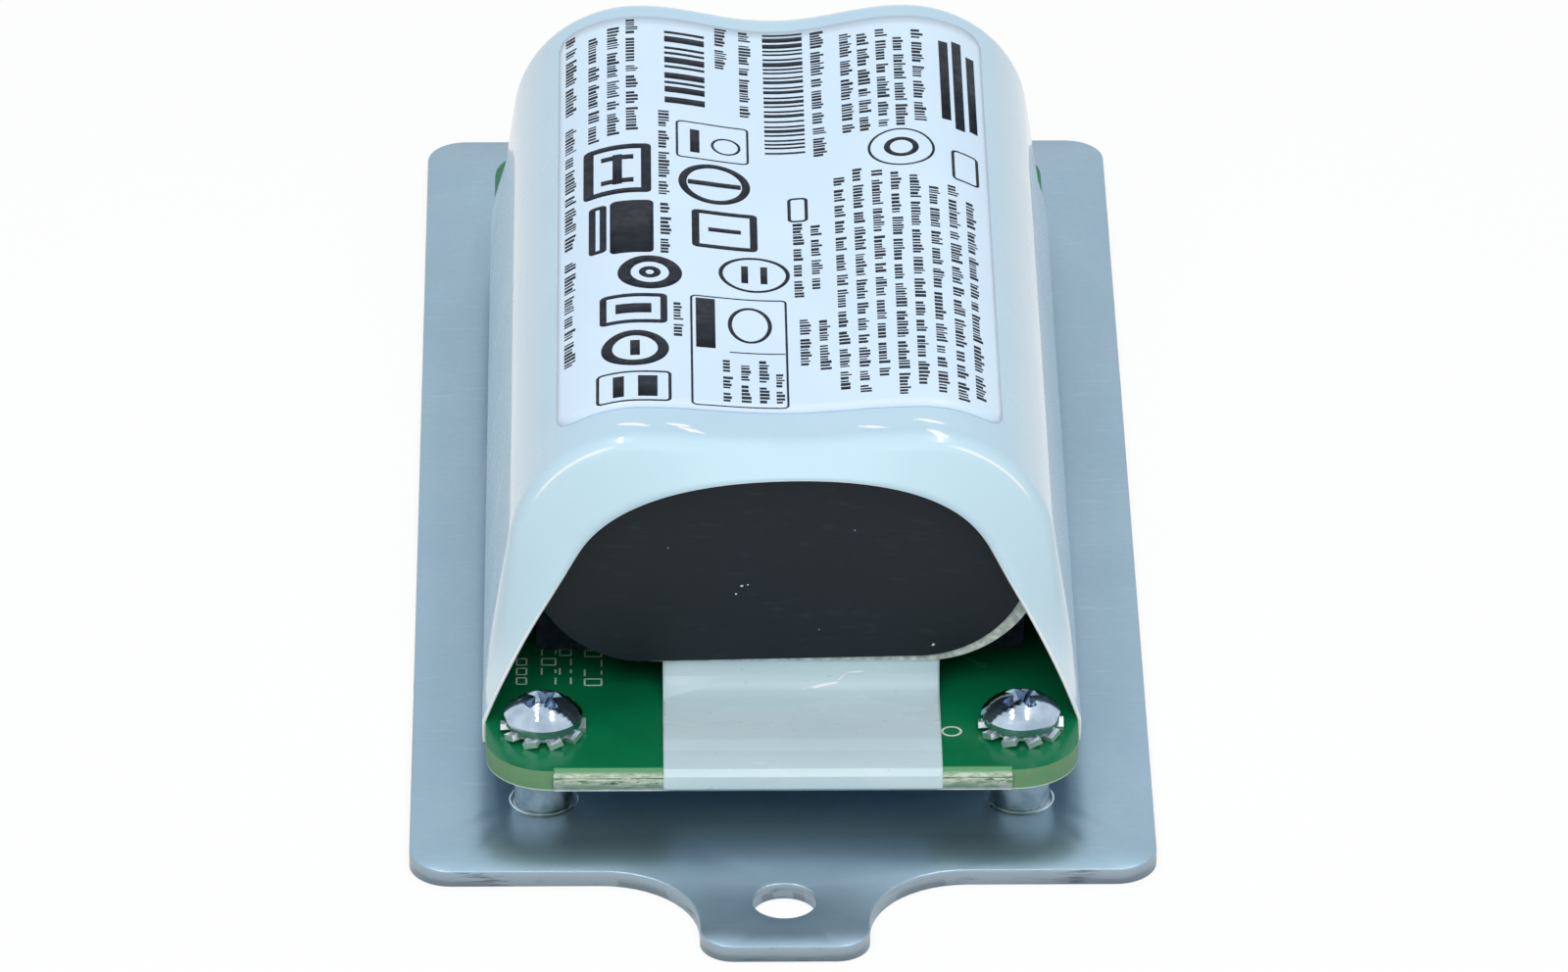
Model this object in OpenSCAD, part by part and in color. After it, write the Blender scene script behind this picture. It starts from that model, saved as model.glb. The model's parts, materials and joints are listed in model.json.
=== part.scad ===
// Battery backup module for a disk array controller.
// Two lithium-ion cells lie on a small circuit board, a shrink sleeve is drawn round both, and the
// board is screwed to a steel mounting plate with a screw tab.
// Origin: centre of the footprint, on the underside of the plate. The tab points to -Y, +Z is up.

/* [Mounting plate] */
// Width of the plate
plate_w = 53.2; // [50:0.1:60]
// Length of the plate without its tab
plate_l = 110; // [108:0.5:125]
// Sheet thickness
plate_t = 1.2; // [1:0.1:1.6]
// Corner radius of the plate
plate_corner_r = 3; // [1:0.5:5]
// Length of the screw tab
tab_l = 10.2; // [9.5:0.1:14]
// Width of the screw tab
tab_w = 12; // [10:0.5:16]
// Corner radius at the tip of the tab
tab_corner_r = 2.4; // [1:0.1:3]
// Radius of the fillets where the tab meets the plate
tab_fillet_r = 7; // [3:0.5:7]
// Diameter of the screw hole in the tab
tab_hole_d = 4.5; // [4:0.1:5.5]
// Distance of the screw hole from the plate's front edge
tab_hole_y = 4; // [3.5:0.1:5]

/* [Standoffs and screws] */
// Height of the standoffs above the plate
standoff_h = 4.2; // [3:0.1:8]
// Diameter of the standoff barrel
standoff_d = 4.2; // [4:0.1:5]
// Distance of the screws from the centre line
screw_x = 17.05; // [16:0.05:17.5]
// Nominal thread size of the screws
screw_d = 3; // [2.5:0.5:3]
// Diameter of the screw heads
head_d = 5.6; // [5:0.1:6]
// Height of the screw heads
head_h = 2; // [1.6:0.1:2.4]
// Outer diameter of the toothed washers
washer_d = 6.1; // [5.8:0.1:6.4]
// Number of teeth on each washer
washer_teeth = 10; // [8:1:12]

/* [Circuit board] */
// Width of the board
board_w = 42.3; // [42:0.1:43]
// Length of the board
board_l = 93.8; // [93:0.1:95]
// Thickness of the board
board_t = 1.6; // [1:0.1:2]
// Corner radius of the board
board_corner_r = 4.6; // [2:0.1:5]
// Distance from the plate's front edge to the board
board_inset = 4.2; // [3.5:0.1:5]

/* [Cells] */
// Diameter of a wrapped cell
cell_d = 18.4; // [18:0.1:18.6]
// Length of a cell over its button
cell_l = 65.2; // [64.8:0.1:65.6]
// Distance of each cell's axis from the centre line
cell_x = 9.75; // [9.7:0.05:9.9]
// Gap between the board and the cells
cell_lift = 2.55; // [2.4:0.05:3]
// Distance from the plate's front edge to the cells
cell_inset = 15.6; // [15.4:0.1:16]

/* [Sleeve] */
// Thickness of the shrink film
film_t = 0.25; // [0.2:0.05:0.3]
// How far the film stands off the cells' outer sides
film_slack = 0.28; // [0:0.02:0.4]
// Depth of the valley between the cells at the front
front_dip = 0.5; // [0.2:0.1:1]
// Depth of the valley between the cells at the rear
rear_dip = 1.4; // [0.2:0.1:2]
// Height of the front opening above the board
opening_h = 18.7; // [17:0.1:19.5]

/* [Hidden] */
$fn = 48;

// Levels
standoff_top = plate_t + standoff_h;
board_top = standoff_top + board_t;
cell_r = cell_d / 2;
cell_z = board_top + cell_lift + cell_r;

// Lengthwise stations, all measured from the plate's front edge
plate_front = (tab_l - plate_l) / 2;
board_front = plate_front + board_inset;
board_rear = board_front + board_l;
screw_inset = 5.8;
screw_front = board_front + screw_inset;
screw_rear = board_rear - screw_inset;
cells_front = plate_front + cell_inset;
cells_rear = cells_front + cell_l;

// Thin parts at the cell ends
nickel_t = 0.2;
nickel_bend_r = 1.5;
sheet_t = 0.3;
tape_t = 0.1;
link_front = cells_front - nickel_t;
backing_front = link_front - tape_t - sheet_t;
insulator_front = backing_front - sheet_t;

// Sleeve section: the film's inner surface lies this far off the board and the cells
film_gap = 0.02;
film_r = cell_r + film_gap;
film_x = cell_x + film_slack;
film_half = board_w / 2 + film_gap;
film_floor = standoff_top - film_gap;
// The film rises straight from the board's edge to the start of its arc round the cell
edge_drop = cell_z - board_top;
edge_run = film_half - film_x;
edge_reach = sqrt(edge_drop * edge_drop + edge_run * edge_run);
tangent_angle = acos(film_r / edge_reach) - atan2(edge_drop, edge_run);

function mix(a, b, t) = a + (b - a) * t;
function arc(centre, r, from, to, steps) = [
    for (i = [0:steps]) let (a = mix(from, to, i / steps)) centre + r * [cos(a), sin(a)]
];
function bezier(p, t) =
    len(p) == 1 ? p[0] : bezier([for (i = [0:len(p) - 2]) mix(p[i], p[i + 1], t)], t);
function unit(v) = v / norm(v);
function flip(points) = [for (i = [len(points) - 1:-1:0]) points[i]];

// ---- shared shapes ----

// Rectangle with round corners, its centre at the origin
module rounded_rect(w, l, r) {
    square([w - 2 * r, l], center = true);
    square([w, l - 2 * r], center = true);
    for (x = [-1, 1], y = [-1, 1])
        translate([x * (w / 2 - r), y * (l / 2 - r)])
            circle(r);
}

// Puts its children at the four screw places
module at_screws() {
    for (x = [-screw_x, screw_x], y = [screw_front, screw_rear])
        translate([x, y, 0])
            children();
}

// Extrudes a profile drawn as [y, z] across the part, from x = from to x = to
module across(from, to) {
    translate([from, 0, 0])
        rotate([90, 0, 90])
            linear_extrude(to - from)
                children();
}

// Outline that covers both cell ends, with a shallow waist on top under the film's valley,
// standing in the XZ plane with its back at y = 0
module end_sheet(r, thickness, waist) {
    rotate([90, 0, 0])
        linear_extrude(thickness) {
            translate([-cell_x, -r])
                square([2 * cell_x, 2 * r - waist]);
            for (x = [-cell_x, cell_x])
                translate([x, 0])
                    circle(r);
        }
}

// ---- plate, standoffs, board and fasteners ----

// Square corner filled up to a concave quarter circle
module inside_fillet(r) {
    difference() {
        square(r);
        translate([r, 0])
            circle(r);
    }
}

module plate_outline() {
    translate([0, plate_front + plate_l / 2])
        rounded_rect(plate_w, plate_l, plate_corner_r);
    translate([-tab_w / 2, plate_front - tab_l + tab_corner_r])
        square([tab_w, tab_l]);
    translate([-tab_w / 2 + tab_corner_r, plate_front - tab_l])
        square([tab_w - 2 * tab_corner_r, tab_l]);
    for (side = [-1, 1]) {
        translate([side * (tab_w / 2 - tab_corner_r), plate_front - tab_l + tab_corner_r])
            circle(tab_corner_r);
        scale([side, 1])
            translate([tab_w / 2, plate_front - tab_fillet_r])
                inside_fillet(tab_fillet_r);
    }
}

hex_flats = 4.8;
hex_depth = 0.8;

module clinch_head() {
    cylinder(h = hex_depth, d = hex_flats / cos(30), $fn = 6);
}

module base_plate() {
    color("lightsteelblue")
        difference() {
            linear_extrude(plate_t)
                difference() {
                    plate_outline();
                    translate([0, plate_front - tab_hole_y])
                        circle(d = tab_hole_d);
                    at_screws()
                        circle(d = standoff_d);
                }
            at_screws()
                clinch_head();
        }
}

module clinch_standoffs() {
    bore_d = screw_d;
    rim = 0.3;
    color("silver")
        at_screws()
            difference() {
                union() {
                    clinch_head();
                    cylinder(h = standoff_top - rim, d = standoff_d);
                    translate([0, 0, standoff_top - rim])
                        cylinder(h = rim, d1 = standoff_d, d2 = standoff_d - 2 * rim);
                }
                translate([0, 0, -1])
                    cylinder(h = standoff_top + 2, d = bore_d);
            }
}

score_half = 16.3;
score_chamfer = 0.45;
score_web = 0.3;

// Rough web left where the board was snapped from its panel
module score_strip() {
    across(-score_half, score_half)
        polygon([
            [board_front + score_chamfer, standoff_top + score_chamfer],
            [board_front - score_web, standoff_top + score_chamfer],
            [board_front - score_web, board_top - score_chamfer],
            [board_front + score_chamfer, board_top - score_chamfer]
        ]);
}

// V cut above and below the web
module score_groove() {
    for (top = [0, 1])
        across(-score_half, score_half)
            translate([board_front, top ? board_top : standoff_top])
                rotate(45)
                    square(score_chamfer * sqrt(2), center = true);
}

module circuit_board() {
    clearance_d = screw_d + 0.2;
    color("seagreen")
        difference() {
            union() {
                difference() {
                    translate([0, (board_front + board_rear) / 2, standoff_top])
                        linear_extrude(board_t)
                            rounded_rect(board_w, board_l, board_corner_r);
                    score_groove();
                }
                score_strip();
            }
            at_screws()
                translate([0, 0, standoff_top - 1])
                    cylinder(h = board_t + 2, d = clearance_d);
            for (i = [0:socket_ways - 1])
                translate([socket_way_x(i), socket_tail_y, standoff_top - 1])
                    cylinder(h = board_t + 2, d = socket_tail_hole, $fn = 24);
        }
}

washer_t = 0.45;
washer_top = board_top + 0.7;

// Domed head, flat under it, with a straight shank
module pan_head_screw(length) {
    edge_h = 0.7;
    dome_r = (pow(head_d / 2, 2) + pow(head_h - edge_h, 2)) / (2 * (head_h - edge_h));
    dome_angle = asin(head_d / 2 / dome_r);
    difference() {
        rotate_extrude()
            polygon(concat(
                [[0, -length], [screw_d / 2 - 0.4, -length], [screw_d / 2 - 0.01, -length + 0.4],
                 [screw_d / 2 - 0.01, 0], [head_d / 2 - 0.15, 0], [head_d / 2, 0.15]],
                arc([0, head_h - dome_r], dome_r, 90 - dome_angle, 90, 8)
            ));
        cross_recess();
    }
}

// Four tapering flutes of a cross recess
module cross_recess() {
    depth = 1.5;
    width = 0.8;
    reach = 3.2;
    intersection() {
        translate([0, 0, head_h - depth])
            cylinder(h = depth + 1, d1 = 1.2, d2 = reach + 1.4);
        translate([0, 0, head_h])
            union() {
                cube([reach + 2, width, 2 * depth], center = true);
                cube([width, reach + 2, 2 * depth], center = true);
            }
    }
}

module board_screws() {
    color("gainsboro")
        at_screws()
            translate([0, 0, washer_top])
                rotate(35)
                    pan_head_screw(6);
}

// External-tooth washer: a flat ring, and teeth twisted about their own radial axes
module toothed_washer() {
    ring_d = 4.6;
    hole_d = screw_d + 0.2;
    tooth_l = (washer_d - ring_d) / 2 + 0.3;
    tooth_w = 1.05;
    twist = 18;
    middle = (washer_top - board_top) / 2;
    difference() {
        union() {
            translate([0, 0, washer_top - board_top - washer_t])
                cylinder(h = washer_t, d = ring_d);
            for (i = [0:washer_teeth - 1])
                rotate(i * 360 / washer_teeth)
                    translate([ring_d / 2 - 0.3, 0, middle])
                        rotate([twist, 0, 0])
                            translate([0, -tooth_w / 2, -washer_t / 2])
                                cube([tooth_l, tooth_w, washer_t]);
        }
        translate([0, 0, -1])
            cylinder(h = 3, d = hole_d);
        // Teeth end flush with the head above
        translate([0, 0, washer_top - board_top])
            cylinder(h = 1, d = 2 * washer_d);
        translate([0, 0, -1])
            cylinder(h = 1, d = 2 * washer_d);
    }
}

module lock_washers() {
    color("silver")
        at_screws()
            translate([0, 0, board_top])
                toothed_washer();
}

// ---- cells and what joins them ----

button_r = 3;
crimp_recess_r = 7.4;
crimp_recess_depth = 0.6;

// Wrapped cell standing on its flat end, with its crimp groove and button at the top
module cell() {
    edge_r = 0.6;
    groove_z = cell_l - 4;
    groove_depth = 0.35;
    shoulder_z = cell_l - 0.2;
    recess_z = cell_l - crimp_recess_depth;
    rotate_extrude($fn = 72)
        polygon(concat(
            [[0, 0]],
            arc([cell_r - edge_r, edge_r], edge_r, -90, 0, 4),
            [[cell_r, groove_z - 0.5], [cell_r - groove_depth, groove_z],
             [cell_r - groove_depth, groove_z + 0.6], [cell_r, groove_z + 1.1]],
            arc([cell_r - edge_r, shoulder_z - edge_r], edge_r, 0, 90, 4),
            [[crimp_recess_r, shoulder_z], [crimp_recess_r, recess_z], [button_r + 0.3, recess_z],
             [button_r, cell_l], [0, cell_l]]
        ));
}

// Cell on its side, with its button towards the rear
module lying_cell(x) {
    translate([x, cells_front, cell_z])
        rotate([-90, 0, 0])
            cell();
}

// The same, with its button towards the front
module lying_cell_turned(x) {
    translate([x, cells_rear, cell_z])
        rotate([90, 0, 0])
            cell();
}

module cell_left() {
    color("mediumseagreen")
        lying_cell_turned(-cell_x);
}

module cell_right() {
    color("mediumseagreen")
        lying_cell(cell_x);
}

// Double-sided strip that fills the narrow waist between the cells
module cell_bond_strip() {
    strip_l = cell_l - 16;
    strip_h = 5;
    color("white")
        difference() {
            translate([-1, (cells_front + cells_rear - strip_l) / 2, cell_z - strip_h / 2])
                cube([2, strip_l, strip_h]);
            for (x = [-cell_x, cell_x])
                translate([x, cells_front, cell_z])
                    rotate([-90, 0, 0])
                        cylinder(h = cell_l, r = cell_r, $fn = 72);
        }
}

spacer_half = 17.6;
spacer_h = cell_lift + 0.4;
spacer_l = 15;
spacer_front = plate_front + 21.2;

// Foam rest, pressed to the cells' shape on top
module foam_spacer(front) {
    difference() {
        translate([-spacer_half, front, board_top])
            cube([2 * spacer_half, spacer_l, spacer_h]);
        for (x = [-cell_x, cell_x])
            translate([x, cells_front, cell_z])
                rotate([-90, 0, 0])
                    cylinder(h = cell_l, r = cell_r, $fn = 72);
    }
}

module front_spacer() {
    color("dimgray")
        foam_spacer(spacer_front);
}

module rear_spacer() {
    color("dimgray")
        foam_spacer(cells_rear - 5 - spacer_l);
}

// Paper rings in the recess round each button
module terminal_rings() {
    ring_t = 0.3;
    ring_gap = 0.05;
    color("ivory") {
        translate([-cell_x, cells_front + crimp_recess_depth, cell_z])
            rotate([90, 0, 0])
                ring(ring_t, crimp_recess_r - ring_gap, button_r + 0.4);
        translate([cell_x, cells_rear - crimp_recess_depth, cell_z])
            rotate([-90, 0, 0])
                ring(ring_t, crimp_recess_r - ring_gap, button_r + 0.4);
    }
}

module ring(h, outer, inner) {
    difference() {
        cylinder(h = h, r = outer);
        translate([0, 0, -1])
            cylinder(h = h + 2, r = inner);
    }
}

link_h = 8;
link_half = 13.6;
foot_half = 3;
foot_l = 4.8;

// Side view of a nickel strip that comes down a cell end and turns out along the board:
// it hangs from z = top with its outer face at y = 0, and its foot runs towards +Y
function strip_profile(top, foot) = concat(
    [[0, top]],
    arc([nickel_bend_r, board_top + nickel_t + nickel_bend_r], nickel_bend_r, 180, 270, 8),
    [[nickel_bend_r + foot, board_top + nickel_t], [nickel_bend_r + foot, board_top]],
    flip(arc([nickel_bend_r, board_top + nickel_t + nickel_bend_r], nickel_bend_r + nickel_t, 180, 270, 8)),
    [[-nickel_t, top]]
);

module series_link() {
    color("darkgray") {
        translate([-link_half, link_front, cell_z - link_h / 2])
            cube([2 * link_half, nickel_t, link_h]);
        translate([0, link_front, 0])
            scale([1, -1, 1])
                across(-foot_half, foot_half)
                    polygon(strip_profile(cell_z, foot_l));
    }
}

// Tab from a cell's rear end down to the board
module rear_tab(x) {
    tab_half = 2.5;
    translate([x, cells_rear + nickel_t, 0])
        across(-tab_half, tab_half)
            polygon(strip_profile(cell_z + 4, 2.4));
}

module positive_tab() {
    color("darkgray")
        rear_tab(cell_x);
}

module negative_tab() {
    color("darkgray")
        rear_tab(-cell_x);
}

// ---- insulators, tape, sleeve and label ----

sheet_r = cell_r - 0.25;
valley_room = 0.35;

// Stuck on low and to the right, so that its edge shows past the black sheet at lower right
module insulator_backing() {
    shift = [0.44, -0.33];
    color("ivory")
        translate([shift[0], backing_front + sheet_t, cell_z + shift[1]])
            end_sheet(sheet_r - 0.18, sheet_t, front_dip + valley_room);
}

// Cut a little smaller than the backing it is stuck to
module front_insulator() {
    tilt = -1.1;
    shift = [-0.02, -0.63];
    color("darkslategray")
        translate([shift[0], insulator_front + sheet_t, cell_z + shift[1]])
            rotate([0, tilt, 0])
                end_sheet(sheet_r - 0.85, sheet_t, front_dip + valley_room);
}

module rear_insulator() {
    color("darkslategray")
        translate([0, cells_rear + nickel_t + sheet_t, cell_z])
            end_sheet(sheet_r, sheet_t, rear_dip + valley_room);
}

tape_left = -8.5;
tape_right = 11.35;

// Tape profile as [y, z]: from under the board, round its scored edge, along the top over the
// link's foot, and up the link
function tape_side(off) = let (
    edge = board_front - score_web - off,
    top = board_top + nickel_t + off,
    bend = nickel_bend_r - off
) concat(
    [[board_front + 6, standoff_top - off], [edge + score_chamfer, standoff_top - off],
     [edge, standoff_top + score_chamfer - off], [edge, board_top - score_chamfer + off],
     [board_front + score_chamfer, board_top + off], [board_front + 2.4, board_top + off],
     [board_front + 3.8, top]],
    flip(arc([link_front - nickel_bend_r, board_top + nickel_t + nickel_bend_r], bend, 0, -90, 8)),
    [[link_front - off, cell_z - 6]]
);

module edge_tape() {
    color("whitesmoke")
        across(tape_left, tape_right)
            polygon(concat(tape_side(0.005), flip(tape_side(tape_t))));
}

// Half section of the sleeve as [x, z], from the middle of its underside round to the valley.
// Numbers of steps: underside, board edge, side panel, cell arc, valley
steps = [4, 2, 8, 12, 8];

function valley_z(x, dip) = cell_z + film_r - dip * (1 + cos(180 * x / film_x)) / 2;

function half_section(dip) = concat(
    [for (x = [0, 0.5, 0.9, 0.96]) [x * film_half, film_floor]],
    [for (i = [0:steps[1] - 1]) [film_half, mix(film_floor, board_top, i / steps[1])]],
    [for (i = [0:steps[2] - 1]) mix(
        [film_half, board_top],
        [film_x, cell_z] + film_r * [cos(tangent_angle), sin(tangent_angle)],
        i / steps[2])],
    arc([film_x, cell_z], film_r, tangent_angle, 90, steps[3]),
    [for (i = [1:steps[4]]) let (x = film_x * (1 - i / steps[4])) [x, valley_z(x, dip)]]
);

// Half outline of an end opening, with the same steps. The arch runs from the board's edge to
// the top centre, and its two break points face the panel's end and the cell's crest
function half_opening(arch, breaks) = concat(
    [for (x = [0, 0.5, 0.9, 0.96]) [x * film_half, film_floor]],
    [for (i = [0:steps[1] - 1]) [film_half, mix(film_floor, board_top, i / steps[1])]],
    [for (i = [0:steps[2] - 1]) bezier(arch, breaks[0] * i / steps[2])],
    [for (i = [0:steps[3] - 1]) bezier(arch, mix(breaks[0], breaks[1], i / steps[3]))],
    [for (i = [0:steps[4]]) bezier(arch, mix(breaks[1], 1, i / steps[4]))]
);

// Full loop from a half: the half, then its mirror image
function full_loop(half) = concat(
    half,
    [for (i = [len(half) - 2:-1:1]) [-half[i][0], half[i][1]]]
);

front_arch = [
    [film_half, board_top], [film_half - 5.72, board_top + 14.65], [film_half - 8.07, board_top + 9.06],
    [18.45, board_top + opening_h], [0, board_top + opening_h]
];
rear_arch = [
    [film_half, board_top], [film_half - 3.6, board_top + 13.5],
    [15, cell_z + 5.4], [0, cell_z + 5.4]
];

// The front opening leans and rises a little to the right, more the higher it gets
opening_lean = 0.22;
opening_rise = 0.024;

function leaning(p) = let (share = max(0, p[1] - board_top) / opening_h)
    [p[0] + opening_lean * share * share, p[1] + opening_rise * share * p[0]];

// How far along the part the film starts to turn inwards, and how softly, at a given height:
// sharp round the cell ends, soft along the side panels
function panel_share(z) = max(0, min(1, (cell_z - z) / (cell_z - board_top)));
function turn_y(z) = plate_front + mix(14.65, 15.6, panel_share(z));
function turn_size(z) = mix(0.8, 3, panel_share(z));
function front_edge_y(p) = plate_front + (
    p[1] > board_top - 0.01
        ? 11.1 + 1.7 * min(1, (p[1] - board_top) / 13.5)
        : 11.1 + 1.5 * min(1, (film_half - abs(p[0])) / 1.8)
);
function rear_edge_y(z) = plate_front + mix(87.6, 84.2, max(0, min(1, (z - board_top - 8) / 9)));

// One lengthwise line of the film through a bend: along the section, round the turn, to the edge
function bend_line(section, turn, size, edge, dir) = let (
    corner = [section[0], turn, section[1]],
    back = corner + [0, dir * size, 0],
    reach = min(size, 0.6 * norm(edge - corner)),
    ahead = corner + reach * unit(edge - corner)
) [
    for (t = [0:0.25:1]) pow(1 - t, 2) * back + 2 * t * (1 - t) * corner + t * t * ahead,
    edge
];

body_steps = 4;

// Rows of the film's inner surface, from the front opening to the rear one
function sleeve_rows() = let (
    front = full_loop(half_section(front_dip)),
    rear = full_loop(half_section(rear_dip)),
    front_edge = [for (p = full_loop(half_opening(front_arch, [0.5, 0.83]))) leaning(p)],
    rear_edge = full_loop(half_opening(rear_arch, [0.45, 0.72])),
    front_lines = [for (j = [0:len(front) - 1]) flip(bend_line(
        front[j], turn_y(front[j][1]), turn_size(front[j][1]),
        [front_edge[j][0], front_edge_y(front_edge[j]), front_edge[j][1]], 1))],
    rear_lines = [for (j = [0:len(rear) - 1]) bend_line(
        rear[j], cells_rear + 0.7, turn_size(rear[j][1]),
        [rear_edge[j][0], rear_edge_y(rear_edge[j][1]), rear_edge[j][1]], -1)],
    bend_rows = len(front_lines[0])
) concat(
    [for (i = [0:bend_rows - 1]) [for (line = front_lines) flip(flip(line))[i]]],
    [for (i = [1:body_steps - 1]) [for (j = [0:len(front) - 1])
        mix(front_lines[j][bend_rows - 1], rear_lines[j][0], i / body_steps)]],
    [for (i = [0:bend_rows - 1]) [for (line = rear_lines) line[i]]]
);

// Unit normals of a grid of rows that close round sideways, pointing out of the tube
function tube_normals(rows) = let (m = len(rows), n = len(rows[0])) [
    for (i = [0:m - 1]) [for (j = [0:n - 1]) unit(cross(
        rows[i][(j + 1) % n] - rows[i][(j + n - 1) % n],
        rows[max(0, i - 1)][j] - rows[min(m - 1, i + 1)][j]))]
];

// Two triangles over the patch from a to d, split the other way on the part's left half so that
// the film's folds match
function patch(a, b, c, d, left) = left ? [[a, b, d], [a, d, c]] : [[a, b, c], [b, d, c]];

module shrink_sleeve() {
    inner = sleeve_rows();
    normals = tube_normals(inner);
    m = len(inner);
    n = len(inner[0]);
    outer = [for (i = [0:m - 1]) [for (j = [0:n - 1]) inner[i][j] + film_t * normals[i][j]]];
    points = [for (grid = [outer, inner]) for (row = grid) for (p = row) p];
    skin = m * n;
    color("white")
        polyhedron(points, concat(
            [for (i = [0:m - 2]) for (j = [0:n - 1]) let (k = (j + 1) % n, e = (i + 1) * n)
                each patch(i * n + j, i * n + k, e + j, e + k, j >= n / 2)],
            [for (i = [0:m - 2]) for (j = [0:n - 1]) let (k = (j + 1) % n, e = skin + (i + 1) * n)
                each patch(skin + i * n + k, skin + i * n + j, e + k, e + j, j < n / 2)],
            [for (j = [0:n - 1]) let (k = (j + 1) % n)
                each [[j, skin + j, k], [k, skin + j, skin + k]]],
            [for (j = [0:n - 1]) let (k = (j + 1) % n, e = (m - 1) * n)
                each [[e + j, e + k, skin + e + j], [e + k, skin + e + k, skin + e + j]]]
        ));
}

label_left = -16;
label_right = 15.8;
label_front = plate_front + 19.1;
label_rear = plate_front + 79.3;
label_corner_r = 1.5;
label_t = 0.08;
label_gap = 0.02;

// Point of the sleeve's outer surface above x, raised by off
function sleeve_top(x, y, off) = let (
    dip = mix(front_dip, rear_dip, (y - cells_front) / cell_l),
    r = film_r + film_t + off,
    run = abs(x) - film_x
) [x, y, run > 0 ? cell_z + sqrt(r * r - run * run) : valley_z(x, dip) + film_t + off];

// Length cut from the label's ends near its side edges, for the round corners
function corner_cut(x) = let (
    d = min(x - label_left, label_right - x),
    r = label_corner_r
) d < r ? r - sqrt(r * r - (r - d) * (r - d)) : 0;

module sleeve_label() {
    rows = 6;
    side = [0, 0.15, 0.5, 1, 1.5];
    middle = [for (i = [1:31]) mix(label_left + 1.5, label_right - 1.5, i / 32)];
    xs = concat(
        [for (d = side) label_left + d], middle, [for (d = flip(side)) label_right - d]
    );
    n = len(xs);
    grid = [for (off = [label_gap + label_t, label_gap]) for (i = [0:rows]) for (x = xs)
        sleeve_top(x, mix(label_front + corner_cut(x), label_rear - corner_cut(x), i / rows), off)];
    skin = (rows + 1) * n;
    color("aliceblue")
        polyhedron(grid, concat(
            [for (i = [0:rows - 1]) for (j = [0:n - 2]) let (a = i * n + j)
                each [[a, a + n, a + 1], [a + 1, a + n, a + n + 1]]],
            [for (i = [0:rows - 1]) for (j = [0:n - 2]) let (a = skin + i * n + j)
                each [[a, a + 1, a + n], [a + 1, a + n + 1, a + n]]],
            [for (j = [0:n - 2]) each [[j, j + 1, skin + j], [j + 1, skin + j + 1, skin + j]]],
            [for (j = [0:n - 2]) let (a = rows * n + j)
                each [[a, skin + a, a + 1], [a + 1, skin + a, skin + a + 1]]],
            [for (i = [0:rows - 1]) let (a = i * n)
                each [[a, skin + a, a + n], [a + n, skin + a, skin + a + n]]],
            [for (i = [0:rows - 1]) let (a = i * n + n - 1)
                each [[a, a + n, skin + a], [a + n, skin + a + n, skin + a]]]
        ));
}

// ---- socket and board parts ----

socket_ways = 10;
socket_pitch = 2;
socket_w = socket_ways * socket_pitch + 2.4;
socket_l = 8.6;
socket_h = 5.4;
socket_front = board_rear + 1 - socket_l;
socket_tail_y = socket_front - 1;
socket_tail_hole = 0.8;
contact_w = 0.5;

function socket_way_x(i) = (i - (socket_ways - 1) / 2) * socket_pitch;

// Housing with two rows of lead-in openings on the rear face
module socket_body() {
    opening = 0.9;
    depth = 5.5;
    row_z = [board_top + 1.7, board_top + 3.7];
    color("dimgray")
        difference() {
            union() {
                translate([-socket_w / 2, socket_front, board_top])
                    cube([socket_w, socket_l, socket_h]);
                for (x = [-1, 1])
                    translate([x * (socket_w / 2 + 1.1), socket_front + 2.2, board_top])
                        cylinder(h = 2.6, r = 1.6);
            }
            for (i = [0:socket_ways - 1], z = row_z)
                translate([socket_way_x(i) - opening / 2, board_rear + 1 - depth, z - opening / 2])
                    cube([opening, depth + 1, opening]);
            // Polarising notch
            translate([-2, board_rear, board_top + socket_h - 0.7])
                cube([4, 2, 1]);
        }
}

// Contacts leave the front of the housing and turn down through the board
module socket_contacts() {
    exit_z = board_top + 1.2;
    color("goldenrod")
        for (i = [0:socket_ways - 1])
            translate([socket_way_x(i) - contact_w / 2, 0, 0]) {
                translate([0, socket_tail_y - contact_w / 2, exit_z - contact_w / 2])
                    cube([contact_w, socket_front - socket_tail_y + contact_w / 2, contact_w]);
                translate([0, socket_tail_y - contact_w / 2, standoff_top - 0.8])
                    cube([contact_w, contact_w, exit_z - standoff_top + 0.8]);
            }
}

parts_y = (spacer_front + spacer_l + cells_rear - 5 - spacer_l) / 2;

// Flat chip package with a row of bent leads along each long side
module leaded_chip(size, leads, pitch) {
    foot = 0.9;
    lead_w = 0.35;
    translate([-size[0] / 2, -size[1] / 2, 0.1])
        cube([size[0], size[1], size[2] - 0.1]);
    for (i = [0:leads - 1], side = [-1, 1])
        translate([(i - (leads - 1) / 2) * pitch, side * (size[1] / 2 + foot / 2 - 0.1), 0]) {
            translate([-lead_w / 2, -foot / 2, 0])
                cube([lead_w, foot, 0.2]);
            translate([-lead_w / 2, side > 0 ? -foot / 2 : foot / 2 - 0.3, 0])
                cube([lead_w, 0.3, size[2] / 2]);
        }
}

// Two-ended chip part with raised end caps
module chip_part(size) {
    cap = size[0] * 0.2;
    translate([-size[0] / 2 + cap, -size[1] / 2 + 0.05, 0.02])
        cube([size[0] - 2 * cap, size[1] - 0.1, size[2] - 0.06]);
    for (side = [0, 1])
        translate([side ? size[0] / 2 - cap : -size[0] / 2, -size[1] / 2, 0])
            cube([cap, size[1], size[2]]);
}

module on_board(x, y) {
    translate([x, parts_y + y, board_top])
        children();
}

module gauge_chip() {
    color("black")
        on_board(-7, 0)
            rotate(90)
                leaded_chip([9.7, 4.4, 1.1], 14, 0.65);
}

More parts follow.
